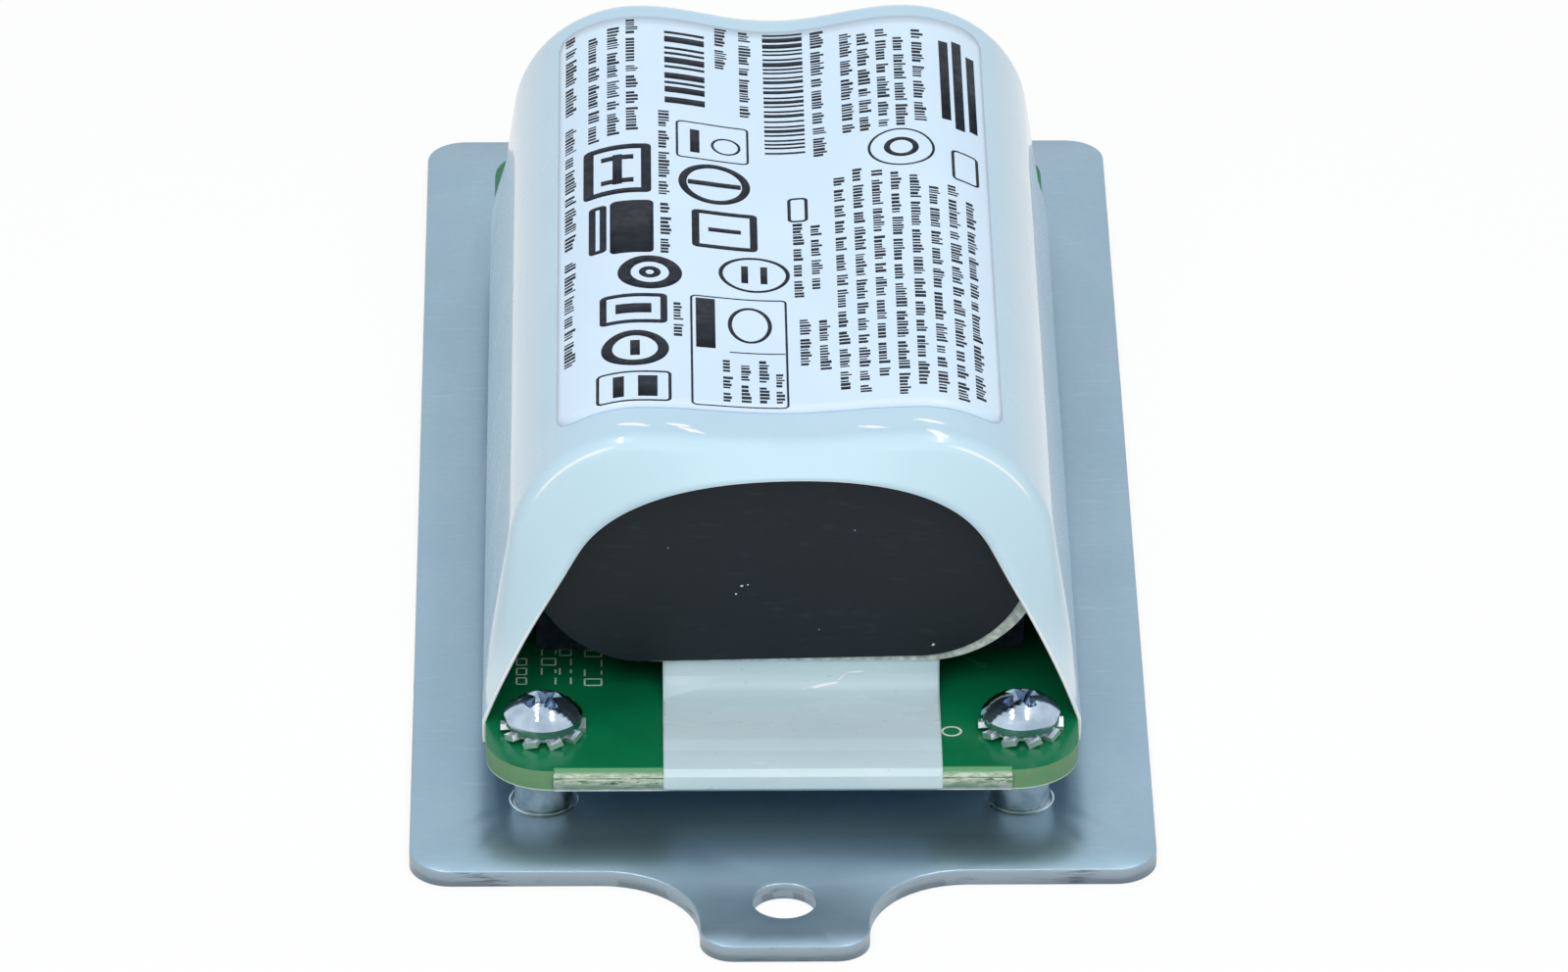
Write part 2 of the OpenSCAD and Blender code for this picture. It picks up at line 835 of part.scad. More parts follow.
module power_switches() {
    color("black")
        for (y = [-4, 4])
            on_board(4.5, y)
                leaded_chip([4.9, 3.9, 1.5], 4, 1.27);
}

module board_fuse() {
    color("beige")
        on_board(12.5, 5)
            rotate(90)
                chip_part([6.1, 2.6, 1.4]);
}

module sense_resistor() {
    color("darkslategray")
        on_board(12.5, -4.5)
            chip_part([6.3, 3.2, 0.6]);
}

module chip_capacitors() {
    color("tan")
        for (i = [0:5])
            on_board(-13, -6.25 + 2.5 * i)
                chip_part([2, 1.25, 0.9]);
}

module chip_resistors() {
    color("darkslategray")
        for (i = [0:7])
            on_board(-1 + 0.2 * (i % 2), -7 + 2 * i)
                chip_part([1.6, 0.8, 0.45]);
}

module thermistor() {
    color("saddlebrown")
        on_board(17, 0)
            rotate(90)
                chip_part([1.6, 0.8, 0.8]);
}

base_plate();
clinch_standoffs();
circuit_board();
board_screws();
lock_washers();
cell_left();
cell_right();
cell_bond_strip();
front_spacer();
rear_spacer();
terminal_rings();
series_link();
positive_tab();
negative_tab();
insulator_backing();
front_insulator();
rear_insulator();
shrink_sleeve();
sleeve_label();
edge_tape();
socket_body();
socket_contacts();
gauge_chip();
power_switches();
board_fuse();
sense_resistor();
chip_capacitors();
chip_resistors();
thermistor();
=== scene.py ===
import json
import math
import random

import bmesh
import bpy
from mathutils import Matrix, Vector, noise
from mathutils.bvhtree import BVHTree


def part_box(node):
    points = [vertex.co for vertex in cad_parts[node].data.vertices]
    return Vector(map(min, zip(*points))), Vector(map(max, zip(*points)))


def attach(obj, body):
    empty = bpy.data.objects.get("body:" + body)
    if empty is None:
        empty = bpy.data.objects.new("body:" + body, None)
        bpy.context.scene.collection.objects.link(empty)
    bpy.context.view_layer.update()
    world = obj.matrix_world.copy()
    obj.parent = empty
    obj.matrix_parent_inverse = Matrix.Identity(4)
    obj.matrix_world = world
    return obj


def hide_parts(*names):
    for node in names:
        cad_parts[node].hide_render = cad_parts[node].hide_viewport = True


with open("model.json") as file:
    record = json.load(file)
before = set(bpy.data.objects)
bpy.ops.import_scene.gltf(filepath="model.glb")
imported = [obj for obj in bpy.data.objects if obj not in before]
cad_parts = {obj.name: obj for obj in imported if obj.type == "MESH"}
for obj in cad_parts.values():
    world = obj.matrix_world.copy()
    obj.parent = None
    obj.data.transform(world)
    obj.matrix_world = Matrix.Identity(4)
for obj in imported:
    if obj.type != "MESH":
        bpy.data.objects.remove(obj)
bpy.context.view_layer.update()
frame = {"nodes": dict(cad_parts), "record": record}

mm = 0.001
scene = bpy.context.scene

_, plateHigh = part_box("base_plate")
boardLow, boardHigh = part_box("circuit_board")
cellLow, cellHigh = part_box("cell_right")
labelLow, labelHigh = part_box("sleeve_label")
tapeLow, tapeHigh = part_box("edge_tape")
sheetLow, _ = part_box("front_insulator")
postLow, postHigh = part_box("clinch_standoffs")

cellR = (cellHigh.z - cellLow.z) / 2
cellX = cellHigh.x - cellR
cellY = (cellHigh.y + cellLow.y) / 2
cellZ = (cellHigh.z + cellLow.z) / 2
tiny = 0.01 * mm  # room for rounding
weld = 1e-7  # points nearer than this become one

print("frame loaded,", len(frame["nodes"]), "nodes")


# Small helpers
def paint(red, green, blue):  # a screen colour, 0 to 255, as the shader's linear one
    def straight(c):
        c /= 255
        return c / 12.92 if c <= 0.04045 else ((c + 0.055) / 1.055) ** 2.4
    return (straight(red), straight(green), straight(blue), 1.0)


def blend(a, b, t):
    return a + (b - a) * t


def clamp(x, low=0.0, high=1.0):
    return max(low, min(high, x))


def smooth(x, low, high):  # 0 below low, 1 above high, soft between
    t = clamp((x - low) / (high - low))
    return t * t * (3 - 2 * t)


def steps(low, high, count):
    return [blend(low, high, i / count) for i in range(count + 1)]


def mixPoints(a, b, t):
    return tuple(blend(p, q, t) for p, q in zip(a, b))


def wave(point, scales, offset=(0, 0, 0)):  # smooth noise; a larger scale gives shorter waves
    return noise.noise(Vector([part * scale for part, scale in zip(point, scales)]) + Vector(offset))


def addObject(name, data):
    made = bpy.data.objects.new(name, data)
    scene.collection.objects.link(made)
    return made


def makePiece(name, bm, finishNames, replaced=(), angle=35):
    mesh = bpy.data.meshes.new(name)
    bm.to_mesh(mesh)
    bm.free()
    piece = addObject(name, mesh)
    for finishName in finishNames:
        mesh.materials.append(finishes[finishName])
    mesh.shade_smooth()
    mesh.set_sharp_from_angle(angle=math.radians(angle))
    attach(piece, "root")
    if replaced:
        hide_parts(*replaced)
    return piece


def thicken(piece, **settings):
    modifier = piece.modifiers.new("Solidify", "SOLIDIFY")
    for key, value in settings.items():
        setattr(modifier, key, value)


def mergedCopy(nodeName):  # a CAD node's mesh, its loose triangles welded
    bm = bmesh.new()
    bm.from_mesh(frame["nodes"][nodeName].data)
    bmesh.ops.remove_doubles(bm, verts=bm.verts, dist=1e-6)
    return bm


def joinInto(bm, part):  # adds one bmesh to another
    loose = bpy.data.meshes.new("loose")
    part.to_mesh(loose)
    part.free()
    bm.from_mesh(loose)
    bpy.data.meshes.remove(loose)


def surfaceTree(piece):
    piece.update_tag()
    bpy.context.view_layer.update()
    return BVHTree.FromObject(piece, bpy.context.evaluated_depsgraph_get())


def heightOn(under, x, y):
    return under.ray_cast(Vector((x, y, 1)), Vector((0, 0, -1)))[0].z


def turnOut(bm, outwards):  # judged by the highest face
    crest = max(bm.faces, key=lambda f: f.calc_center_median().z)
    crest.normal_update()
    if crest.normal.dot(outwards) < 0:
        bmesh.ops.reverse_faces(bm, faces=bm.faces)
    bm.normal_update()


def addGrid(bm, columns, rows):  # one unit across, centred on the origin
    return bmesh.ops.create_grid(bm, x_segments=columns, y_segments=rows, size=0.5)["verts"]


def placed(centre, size):
    return Matrix.Translation(centre) @ Matrix.Diagonal((*size, 1))


def addBlock(bm, centre, size, turn=0.0):
    place = Matrix.Translation(centre) @ Matrix.Rotation(turn, 4, "Z") @ Matrix.Diagonal((*size, 1))
    return bmesh.ops.create_cube(bm, size=1, matrix=place)["verts"]


# Finishes
finishes = {}


def startFinish(name):
    finish = finishes[name] = bpy.data.materials.new(name)
    finish.use_nodes = True
    tree = finish.node_tree
    tree.nodes.clear()
    shader = tree.nodes.new("ShaderNodeBsdfPrincipled")
    output = tree.nodes.new("ShaderNodeOutputMaterial")
    tree.links.new(shader.outputs[0], output.inputs[0])
    return tree, shader


def addNode(tree, kind, settings=None, sockets=None):
    made = tree.nodes.new("ShaderNode" + kind)
    for key, value in (settings or {}).items():
        setattr(made, key, value)
    for key, value in (sockets or {}).items():
        if isinstance(value, bpy.types.NodeSocket):
            tree.links.new(value, made.inputs[key])
        else:
            made.inputs[key].default_value = value
    return made


def place(tree, scale=(1, 1, 1)):  # object coordinates, stretched
    coords = addNode(tree, "TexCoord").outputs["Object"]
    return addNode(tree, "Mapping", None, {0: coords, 3: scale}).outputs[0]


def grain(tree, where, size, detail=2.0, rough=0.5):  # noise whose features are about size across
    return addNode(tree, "TexNoise", None,
                   {"Vector": where, "Scale": 1 / size, "Detail": detail, "Roughness": rough}).outputs[0]


def spread(tree, value, low, high, toLow=0, toHigh=1):
    sockets = {0: value, 1: low, 2: high, 3: toLow, 4: toHigh}
    return addNode(tree, "MapRange", None, sockets).outputs[0]


def clouds(tree, where, size, detail=3):
    return spread(tree, grain(tree, where, size, detail), 0.3, 0.7)


def mixColour(tree, factor, first, second):
    return addNode(tree, "Mix", {"data_type": "RGBA"}, {0: factor, 6: first, 7: second}).outputs[2]


def maths(tree, operation, first, second=0.0):
    return addNode(tree, "Math", {"operation": operation}, {0: first, 1: second}).outputs[0]


def times(tree, first, second):
    return maths(tree, "MULTIPLY", first, second)


def apart(tree, first, second):
    return maths(tree, "ABSOLUTE", maths(tree, "SUBTRACT", first, second))


def lengthOf(tree, vector):
    return addNode(tree, "VectorMath", {"operation": "LENGTH"}, {0: vector}).outputs["Value"]


def bumped(tree, height, strength, depth, under=None):
    sockets = {"Strength": strength, "Distance": depth, "Height": height}
    if under:
        sockets["Normal"] = under
    return addNode(tree, "Bump", None, sockets).outputs[0]


def axisOf(tree, which, axis):  # one part of the position or of the normal
    coords = addNode(tree, "TexCoord").outputs[which]
    return addNode(tree, "SeparateXYZ", None, {0: coords}).outputs[axis]


# Mask for painted highlights, drawn as short white streaks
def highlightStreaks(tree, streaks):  # 1 inside ellipsoids: (centre, half sizes, lean in degrees, its axis), in mm
    coords = addNode(tree, "TexCoord").outputs["Object"]
    ragged = addNode(tree, "TexNoise", None, {"Vector": coords, "Scale": 1 / (0.5 * mm)}).outputs[0]
    mask = None
    for centre, half, lean, axis in streaks:
        turn = [math.radians(lean) if axis == i else 0 for i in range(3)]
        sockets = {0: coords, 1: [c * mm for c in centre], 2: turn, 3: [h * mm for h in half]}
        local = addNode(tree, "Mapping", {"vector_type": "TEXTURE"}, sockets).outputs[0]
        one = spread(tree, maths(tree, "ADD", lengthOf(tree, local), ragged), 1.2, 1.5, 1, 0)
        mask = maths(tree, "MAXIMUM", mask, one) if mask else one
    return mask


def setShader(tree, shader, values):
    for key, value in values.items():
        if isinstance(value, bpy.types.NodeSocket):
            tree.links.new(value, shader.inputs[key])
        else:
            shader.inputs[key].default_value = value


def plainFinish(name, values):  # two near tones, uneven gloss and a fine grain; lengths in mm
    tree, shader = startFinish(name)
    where = place(tree, values.get("stretch", (1, 1, 1)))
    patch = values["patch"] * mm
    tone = spread(tree, grain(tree, where, patch, 3), 0.35, 0.65)
    gloss = grain(tree, where, patch * 0.6, 2)
    relief = grain(tree, where, values["grain"] * mm, 3)
    setShader(tree, shader, {
        "Base Color": mixColour(tree, tone, paint(*values["dark"]), paint(*values["light"])),
        "Roughness": spread(tree, gloss, 0.3, 0.7, *values["gloss"]),
        "Normal": bumped(tree, relief, values["relief"], values["depth"] * mm),
        "Metallic": values.get("metallic", 0.0),
        "Coat Weight": values.get("coat", 0.0),
        "Coat Roughness": 0.12,
        "Specular IOR Level": values.get("shine", 0.5),
    })


plainKeys = ("dark", "light", "patch", "grain", "gloss", "relief", "depth")
plainFinishes = {  # in the order of the keys, then what else is set
    # zinc_washer: bright plating, painted lighter still so that the teeth show as highlights
    "zinc_washer": ((226, 234, 240), (250, 253, 255), 0.8, 0.15, (0.12, 0.25), 0.2, 0.02,
        dict(metallic=0.7)),
    "cell_wrap": ((28, 118, 96), (40, 140, 116), 6, 1.2, (0.25, 0.35), 0.2, 0.05, dict(coat=0.3)),
    "bond_foam": ((210, 210, 204), (232, 232, 228), 1.5, 0.3, (0.8, 0.95), 0.8, 0.1, {}),
    "black_foam": ((24, 31, 40), (46, 56, 68), 0.9, 0.28, (0.8, 0.95), 0.9, 0.15, {}),
    "ring_paper": ((206, 200, 184), (226, 221, 207), 0.8, 0.1, (0.8, 0.9), 0.4, 0.03, {}),
    "nickel_strip": ((158, 158, 152), (196, 195, 188), 2, 0.15, (0.25, 0.4), 0.3, 0.02,
        dict(metallic=1.0, stretch=(0.2, 1, 1))),
    "backing_paper": ((172, 182, 176), (226, 232, 222), 0.45, 0.12, (0.6, 0.8), 0.6, 0.05, {}),
    "socket_plastic": ((30, 31, 34), (42, 43, 46), 2.5, 0.12, (0.42, 0.6), 0.35, 0.03, {}),
    "contact_brass": ((178, 146, 74), (214, 186, 112), 0.6, 0.1, (0.2, 0.32), 0.15, 0.01,
        dict(metallic=1.0)),
    "chip_plastic": ((28, 28, 30), (44, 44, 47), 0.7, 0.08, (0.5, 0.7), 0.4, 0.02, {}),
    "fuse_ceramic": ((206, 200, 178), (226, 221, 204), 1, 0.1, (0.35, 0.5), 0.2, 0.02, {}),
    "resistor_ceramic": ((28, 29, 32), (48, 49, 54), 0.6, 0.08, (0.4, 0.6), 0.2, 0.02, {}),
    "capacitor_ceramic": ((150, 122, 92), (178, 150, 116), 0.6, 0.08, (0.35, 0.5), 0.2, 0.02, {}),
    "thermistor_ceramic": ((84, 58, 42), (110, 80, 60), 0.5, 0.08, (0.35, 0.5), 0.2, 0.02, {}),
    "solder": ((176, 180, 184), (214, 218, 222), 0.6, 0.2, (0.15, 0.3), 0.2, 0.02, dict(metallic=1.0)),
    "silk_ink": ((196, 210, 200), (226, 236, 228), 0.3, 0.06, (0.5, 0.65), 0.3, 0.01, {}),
    "print_ink": ((18, 22, 30), (30, 36, 46), 1.1, 0.08, (0.5, 0.65), 0.2, 0.01, dict(shine=0.15)),
    "dust": ((190, 200, 206), (225, 232, 236), 0.2, 0.05, (0.7, 0.9), 0.5, 0.02, {}),
}
for name, (*plain, extra) in plainFinishes.items():
    plainFinish(name, {**dict(zip(plainKeys, plain)), **extra})

turned = dict(middleY=(postLow.y + postHigh.y) / 2, reach=(17.05 * mm, 41.1 * mm), pole=1.2 * mm)
screwSpots = [(side * turned["reach"][0], turned["middleY"] + end * turned["reach"][1])
              for side in (-1, 1) for end in (-1, 1)]


def turnedFinish(name, values, alongAxis):  # lathe-turned zinc, its shine drawn out along the profile
    tree, shader = startFinish(name)
    forward = maths(tree, "SUBTRACT", axisOf(tree, "Object", 1), turned["middleY"])
    across = [axisOf(tree, "Object", 0), forward]
    nearest = [times(tree, maths(tree, "SIGN", part), reach) for part, reach in zip(across, turned["reach"])]
    offsets = [maths(tree, "SUBTRACT", part, axis) for part, axis in zip(across, nearest)]
    sockets = {2: 1.0} if alongAxis else {0: offsets[0], 1: offsets[1], 2: -turned["pole"]}
    shine = addNode(tree, "CombineXYZ", None, sockets).outputs[0]
    where = place(tree)
    tone = spread(tree, grain(tree, where, values["patch"], 3), 0.35, 0.65)
    relief = bumped(tree, grain(tree, where, values["grain"], 3), values["relief"], 0.02 * mm)
    setShader(tree, shader, {
        "Base Color": mixColour(tree, tone, values["dark"], values["light"]),
        "Metallic": 1.0, "Roughness": spread(tree, tone, 0, 1, *values["gloss"]),
        "Normal": relief, "Anisotropic": values["pull"], "Tangent": shine})


def plateFinish():  # galvanised top and underside: satin metal with a fine grain and faint rubbing marks
    tree, shader = startFinish("zinc_sheet")
    where = place(tree)
    cloud = clouds(tree, where, 14 * mm, 4)
    speck = spread(tree, grain(tree, where, 0.5 * mm, 3, 0.7), 0.3, 0.7)
    rub = spread(tree, grain(tree, place(tree, (0.12, 1, 1)), 0.35 * mm, 2), 0.63, 0.72, 0, 0.5)
    tone = mixColour(tree, cloud, paint(148, 173, 189), paint(159, 183, 198))
    tone = mixColour(tree, times(tree, speck, 0.25), tone, paint(136, 162, 180))
    tone = mixColour(tree, times(tree, rub, 0.35), tone, paint(190, 208, 222))
    rough = maths(tree, "ADD", spread(tree, cloud, 0, 1, 0.27, 0.33), times(tree, speck, 0.05))
    relief = bumped(tree, grain(tree, where, 0.35 * mm, 3, 0.6), 0.08, 0.03 * mm)
    setShader(tree, shader, {
        "Base Color": tone, "Roughness": rough, "Metallic": 0.8,
        "Normal": bumped(tree, cloud, 0.06, 0.25 * mm, relief)})


def shearedFinish():  # the cut edge: bright, with broken darker streaks along it
    tree, shader = startFinish("sheared_edge")
    height = spread(tree, axisOf(tree, "Object", 2), 0, plateHigh.z)
    streak = grain(tree, place(tree, (0.1, 0.1, 1)), 0.28 * mm, 3, 0.6)
    blotch = grain(tree, place(tree, (0.35, 0.35, 1)), 1.6 * mm, 2)
    dark = times(tree, spread(tree, streak, 0.5, 0.62), spread(tree, blotch, 0.5, 0.62))
    tone = mixColour(tree, height, paint(132, 149, 160), paint(160, 176, 186))
    tone = mixColour(tree, times(tree, dark, 0.75), tone, paint(92, 100, 108))
    setShader(tree, shader, {
        "Base Color": tone, "Metallic": 0.75,
        "Roughness": spread(tree, streak, 0.3, 0.7, 0.3, 0.5),
        "Normal": bumped(tree, streak, 0.5, 0.06 * mm)})


# Painted highlights: short white streaks along the crest of the film's front turn
paintedFilmGlints = [((-10.6, -33.2, 28.2), (1.3, 0.22, 1), -12, 2), ((-7.4, -33.2, 28.1), (1.1, 0.2, 1), -10, 2),
              ((-6.4, -33.9, 28.1), (1.1, 0.24, 1), -22, 2), ((6.5, -33.5, 28.1), (1.1, 0.2, 1), -12, 2),
              ((10.5, -32.9, 28.2), (1.3, 0.2, 1), -14, 2), ((11.0, -34.5, 28.1), (0.9, 0.35, 1), -30, 2)]


rimHighlight = dict(radius=9.15 * mm, width=(0.04 * mm, 0.1 * mm), strength=0.8, front=(-34.6 * mm, -34.8 * mm),
                 sideways=(1.8 * mm, 3.2 * mm), upwards=(4.4 * mm, 5.6 * mm))


def paintedRimHighlight(tree):  # painted highlights: thin pale arcs where the film turns over the cells' outer rims
    x, y, z = (axisOf(tree, "Object", axis) for axis in range(3))
    side = maths(tree, "SUBTRACT", maths(tree, "ABSOLUTE", x), cellX)
    rise = maths(tree, "SUBTRACT", z, cellZ)
    radius = lengthOf(tree, addNode(tree, "CombineXYZ", None, {0: side, 1: rise}).outputs[0])
    off = apart(tree, radius, rimHighlight["radius"])
    band = spread(tree, off, *rimHighlight["width"], rimHighlight["strength"], 0)
    ends = times(tree, spread(tree, side, *rimHighlight["sideways"]), spread(tree, rise, *rimHighlight["upwards"]))
    return times(tree, times(tree, band, ends), spread(tree, y, *rimHighlight["front"]))


def filmFinish():  # thick glossy shrink film, faintly uneven
    tree, shader = startFinish("white_film")
    where = place(tree)
    cloud = clouds(tree, where, 9 * mm)
    tone = mixColour(tree, cloud, paint(177, 209, 228), paint(185, 215, 233))
    ends = apart(tree, axisOf(tree, "Object", 1), cellY)
    free = spread(tree, ends, cellY - cellLow.y - 0.2 * mm, cellY - cellLow.y + 1.4 * mm)
    tone = mixColour(tree, free, tone, paint(200, 229, 241))  # lighter at the free ends: partly because no dark cell shows through there, partly painted light where the lip faces the front
    # painted highlights along the crest of the film's front turn
    paintedGlints = times(tree, highlightStreaks(tree, paintedFilmGlints), 0.85)
    tone = mixColour(tree, paintedGlints, tone, paint(255, 255, 255))
    # painted highlight arcs where the film turns over the cells' rims
    tone = mixColour(tree, paintedRimHighlight(tree), tone, paint(252, 255, 255))
    ripple = grain(tree, place(tree, (1, 0.55, 1)), 5 * mm, 2)
    peel = grain(tree, where, 0.7 * mm, 2)
    relief = bumped(tree, peel, 0.06, 0.04 * mm)
    setShader(tree, shader, {
        "Base Color": tone, "Roughness": spread(tree, cloud, 0, 1, 0.2, 0.3),
        "Normal": bumped(tree, ripple, 0.25, 0.25 * mm, relief),
        "Coat Weight": 0.6, "Coat Roughness": 0.05, "Specular IOR Level": 0.4})


def cutFilmFinish():  # the film's cut edge, painted lighter than its face as a bright highlight line
    tree, shader = startFinish("cut_film")
    fibre = grain(tree, place(tree), 0.4 * mm, 2)
    tone = mixColour(tree, fibre, paint(246, 251, 253), paint(255, 255, 255))
    setShader(tree, shader, {
        "Base Color": tone, "Roughness": 0.5})


def labelFinish():  # satin label stock, a little bluer than the film
    tree, shader = startFinish("label_film")
    where = place(tree)
    cloud = clouds(tree, where, 12 * mm, 2)
    tone = mixColour(tree, cloud, paint(211, 232, 252), paint(217, 237, 253))
    fibre = grain(tree, where, 0.25 * mm, 3)
    setShader(tree, shader, {
        "Base Color": tone, "Roughness": spread(tree, fibre, 0.3, 0.7, 0.34, 0.44),
        "Normal": bumped(tree, fibre, 0.08, 0.02 * mm), "Coat Weight": 0.12,
        "Coat Roughness": 0.2})


def sheetFinish():  # black fibre sheet, satin, with faint scuffs
    tree, shader = startFinish("black_sheet")
    where = place(tree)
    cloud = clouds(tree, where, 4 * mm)
    scuff = spread(tree, grain(tree, place(tree, (0.25, 1, 1)), 0.5 * mm, 3), 0.6, 0.75, 0, 0.25)
    tone = mixColour(tree, cloud, paint(15, 24, 31), paint(20, 30, 37))
    tone = mixColour(tree, scuff, tone, paint(46, 58, 66))
    setShader(tree, shader, {
        "Base Color": tone, "Roughness": spread(tree, cloud, 0, 1, 0.42, 0.55),
        "Specular IOR Level": 0.3,
        "Normal": bumped(tree, grain(tree, where, 0.2 * mm, 3), 0.15, 0.02 * mm)})


def maskFinish(name, bare, over, gloss):  # green solder mask, with glass fibre at the cut sides
    tree, shader = startFinish(name)
    where = place(tree)
    cloud = clouds(tree, where, 7 * mm)
    weave = grain(tree, place(tree, (1, 1, 0.2)), 0.5 * mm, 2)
    top = mixColour(tree, cloud, bare, over)
    blur = grain(tree, place(tree, (0.3, 0.3, 1)), 1.1 * mm, 2)
    side = mixColour(tree, blur, paint(92, 142, 104), paint(116, 156, 108))
    side = mixColour(tree, spread(tree, weave, 0.5, 0.75, 0, 0.4), side, paint(136, 158, 116))
    rim = spread(tree, axisOf(tree, "Object", 2), boardLow.z + 0.1 * mm, boardLow.z + 0.04 * mm)
    side = mixColour(tree, rim, side, paint(206, 224, 204))
    upright = maths(tree, "ABSOLUTE", axisOf(tree, "Normal", 2))
    flat = spread(tree, upright, 0.55, 0.75)
    setShader(tree, shader, {
        "Base Color": mixColour(tree, flat, side, top),
        "Roughness": spread(tree, flat, 0, 1, 0.6, gloss),
        "Normal": bumped(tree, weave, 0.12, 0.03 * mm),
        "Coat Weight": 0.1, "Coat Roughness": 0.08, "Specular IOR Level": 0.3})


def scoreFinish():  # snapped edge: pale fibres, resin and dark pits
    tree, shader = startFinish("score_fibre")
    along = place(tree, (0.25, 1, 1))
    fibre = grain(tree, along, 0.22 * mm, 4, 0.7)
    patch = grain(tree, place(tree, (0.5, 1, 1)), 0.9 * mm, 2)
    height = spread(tree, axisOf(tree, "Object", 2), boardLow.z, boardHigh.z)
    pale = mixColour(tree, spread(tree, fibre, 0.35, 0.6), paint(138, 164, 138), paint(208, 218, 200))
    grey = mixColour(tree, spread(tree, patch, 0.45, 0.6), paint(126, 156, 136), paint(166, 186, 176))
    tone = mixColour(tree, spread(tree, height, 0.38, 0.5), grey, pale)
    tone = mixColour(tree, spread(tree, height, 0.82, 0.9), tone, paint(96, 156, 108))
    tone = mixColour(tree, spread(tree, height, 0.1, 0.05), tone, paint(236, 242, 238))
    crack = grain(tree, place(tree, (0.22, 1, 1)), 0.3 * mm, 4, 0.75)
    middle = spread(tree, apart(tree, height, 0.56), 0.1, 0.24, 1, 0)
    dark = times(tree, spread(tree, crack, 0.56, 0.62, 0, 0.9), middle)
    tone = mixColour(tree, dark, tone, paint(48, 62, 52))
    setShader(tree, shader, {
        "Base Color": tone, "Roughness": 0.6,
        "Normal": bumped(tree, fibre, 0.8, 0.12 * mm)})


# Painted highlights: small white streaks near the top of the tape, where it creases
tapeCreaseHighlights = [((2.8, -34.7, 7.7), (1.5, 1, 0.1), -8, 1), ((5.3, -34.55, 8.6), (0.9, 0.5, 0.09), -4, 1),
               ((4.3, -34.6, 8.2), (0.6, 0.5, 0.07), -42, 1)]


def tapeFinish():  # glossy white tape
    tree, shader = startFinish("white_tape")
    where = place(tree)
    cloud = clouds(tree, place(tree, (0.4, 1, 1)), 4 * mm)
    tone = mixColour(tree, cloud, paint(203, 225, 232), paint(213, 232, 238))
    speck = spread(tree, grain(tree, where, 0.45 * mm, 1), 0.72, 0.78, 0, 0.35)
    tone = mixColour(tree, speck, tone, paint(160, 180, 188))
    # painted highlights on the tape's creases
    tone = mixColour(tree, highlightStreaks(tree, tapeCreaseHighlights), tone, paint(255, 255, 255))
    ripple = grain(tree, place(tree, (0.25, 1, 1)), 1.6 * mm, 2)
    setShader(tree, shader, {
        "Base Color": tone, "Roughness": spread(tree, cloud, 0, 1, 0.2, 0.3),
        "Normal": bumped(tree, ripple, 0.18, 0.12 * mm),
        "Coat Weight": 0.3, "Coat Roughness": 0.08})


turnedFinish("zinc_standoff", dict(
    dark=paint(168, 182, 190), light=paint(206, 216, 222), patch=1.2 * mm, grain=0.3 * mm, gloss=(0.2, 0.26),
    relief=0.1, pull=0.95), True)
turnedFinish("zinc_screw", dict(
    dark=paint(168, 184, 200), light=paint(200, 213, 226), patch=1.5 * mm, grain=0.3 * mm, gloss=(0.1, 0.16),
    relief=0.1, pull=0.7), False)
plateFinish()
shearedFinish()
filmFinish()
cutFilmFinish()
labelFinish()
sheetFinish()
maskFinish("solder_mask", paint(5, 104, 63), paint(11, 122, 76), 0.22)
maskFinish("copper_mask", paint(14, 124, 78), paint(22, 138, 90), 0.2)
scoreFinish()
tapeFinish()

slotOf = {row["node"]: row["material_slot"] for row in frame["record"]["subparts"]}
for nodeName, slotName in slotOf.items():
    for holder in frame["nodes"][nodeName].material_slots:
        holder.material = finishes[slotName]
print("finishes made:", len(finishes))


# Camera, floor and lamps
viewPoint = dict(eye=(-0.010914, -0.762747, 0.440383), turn=0.8707, drop=29.765, roll=0.2245,
                 lens=270.9, sensor=36, clip=(0.05, 20))


def placeCamera():
    camera = addObject("camera", bpy.data.cameras.new("camera"))
    camera.data.lens = viewPoint["lens"]
    camera.data.sensor_width = viewPoint["sensor"]
    camera.data.clip_start, camera.data.clip_end = viewPoint["clip"]
    turn = Matrix.Rotation(-math.radians(viewPoint["turn"]), 4, "Z")
    tip = Matrix.Rotation(math.radians(90 - viewPoint["drop"]), 4, "X")
    roll = Matrix.Rotation(math.radians(viewPoint["roll"]), 4, "Z")
    camera.matrix_world = Matrix.Translation(viewPoint["eye"]) @ turn @ tip @ roll
    scene.camera = camera


studio = dict(floorSize=8, floorDrop=0.05 * mm, whiteShare=0.88, daylight=0.3, sky=(0.9, 0.965, 1.0),
              strips=dict(x=0.097, y=0.05, z=0.39, width=0.02, length=0.3, power=0.33),
              fill=dict(spot=(0, -0.48, 0.55), width=0.7, height=0.4, power=2.7))


def seenOrMirrored(tree):  # 1 where the camera, a reflection or a clear body looks
    path = addNode(tree, "LightPath")
    seen = maths(tree, "MAXIMUM", path.outputs["Is Camera Ray"], path.outputs["Is Glossy Ray"])
    return maths(tree, "MAXIMUM", seen, path.outputs["Is Transmission Ray"])


def addLamp(name, spot, aim, width, height, power, mirrored=True):
    lamp = addObject(name, bpy.data.lights.new(name, "AREA"))
    lamp.data.shape = "RECTANGLE"
    lamp.data.size = width
    lamp.data.size_y = height
    lamp.data.energy = power
    lamp.location = spot
    lamp.rotation_mode = "QUATERNION"
    lamp.rotation_quaternion = Vector(aim).to_track_quat("-Z", "Y")
    lamp.visible_camera = False
    lamp.visible_glossy = mirrored


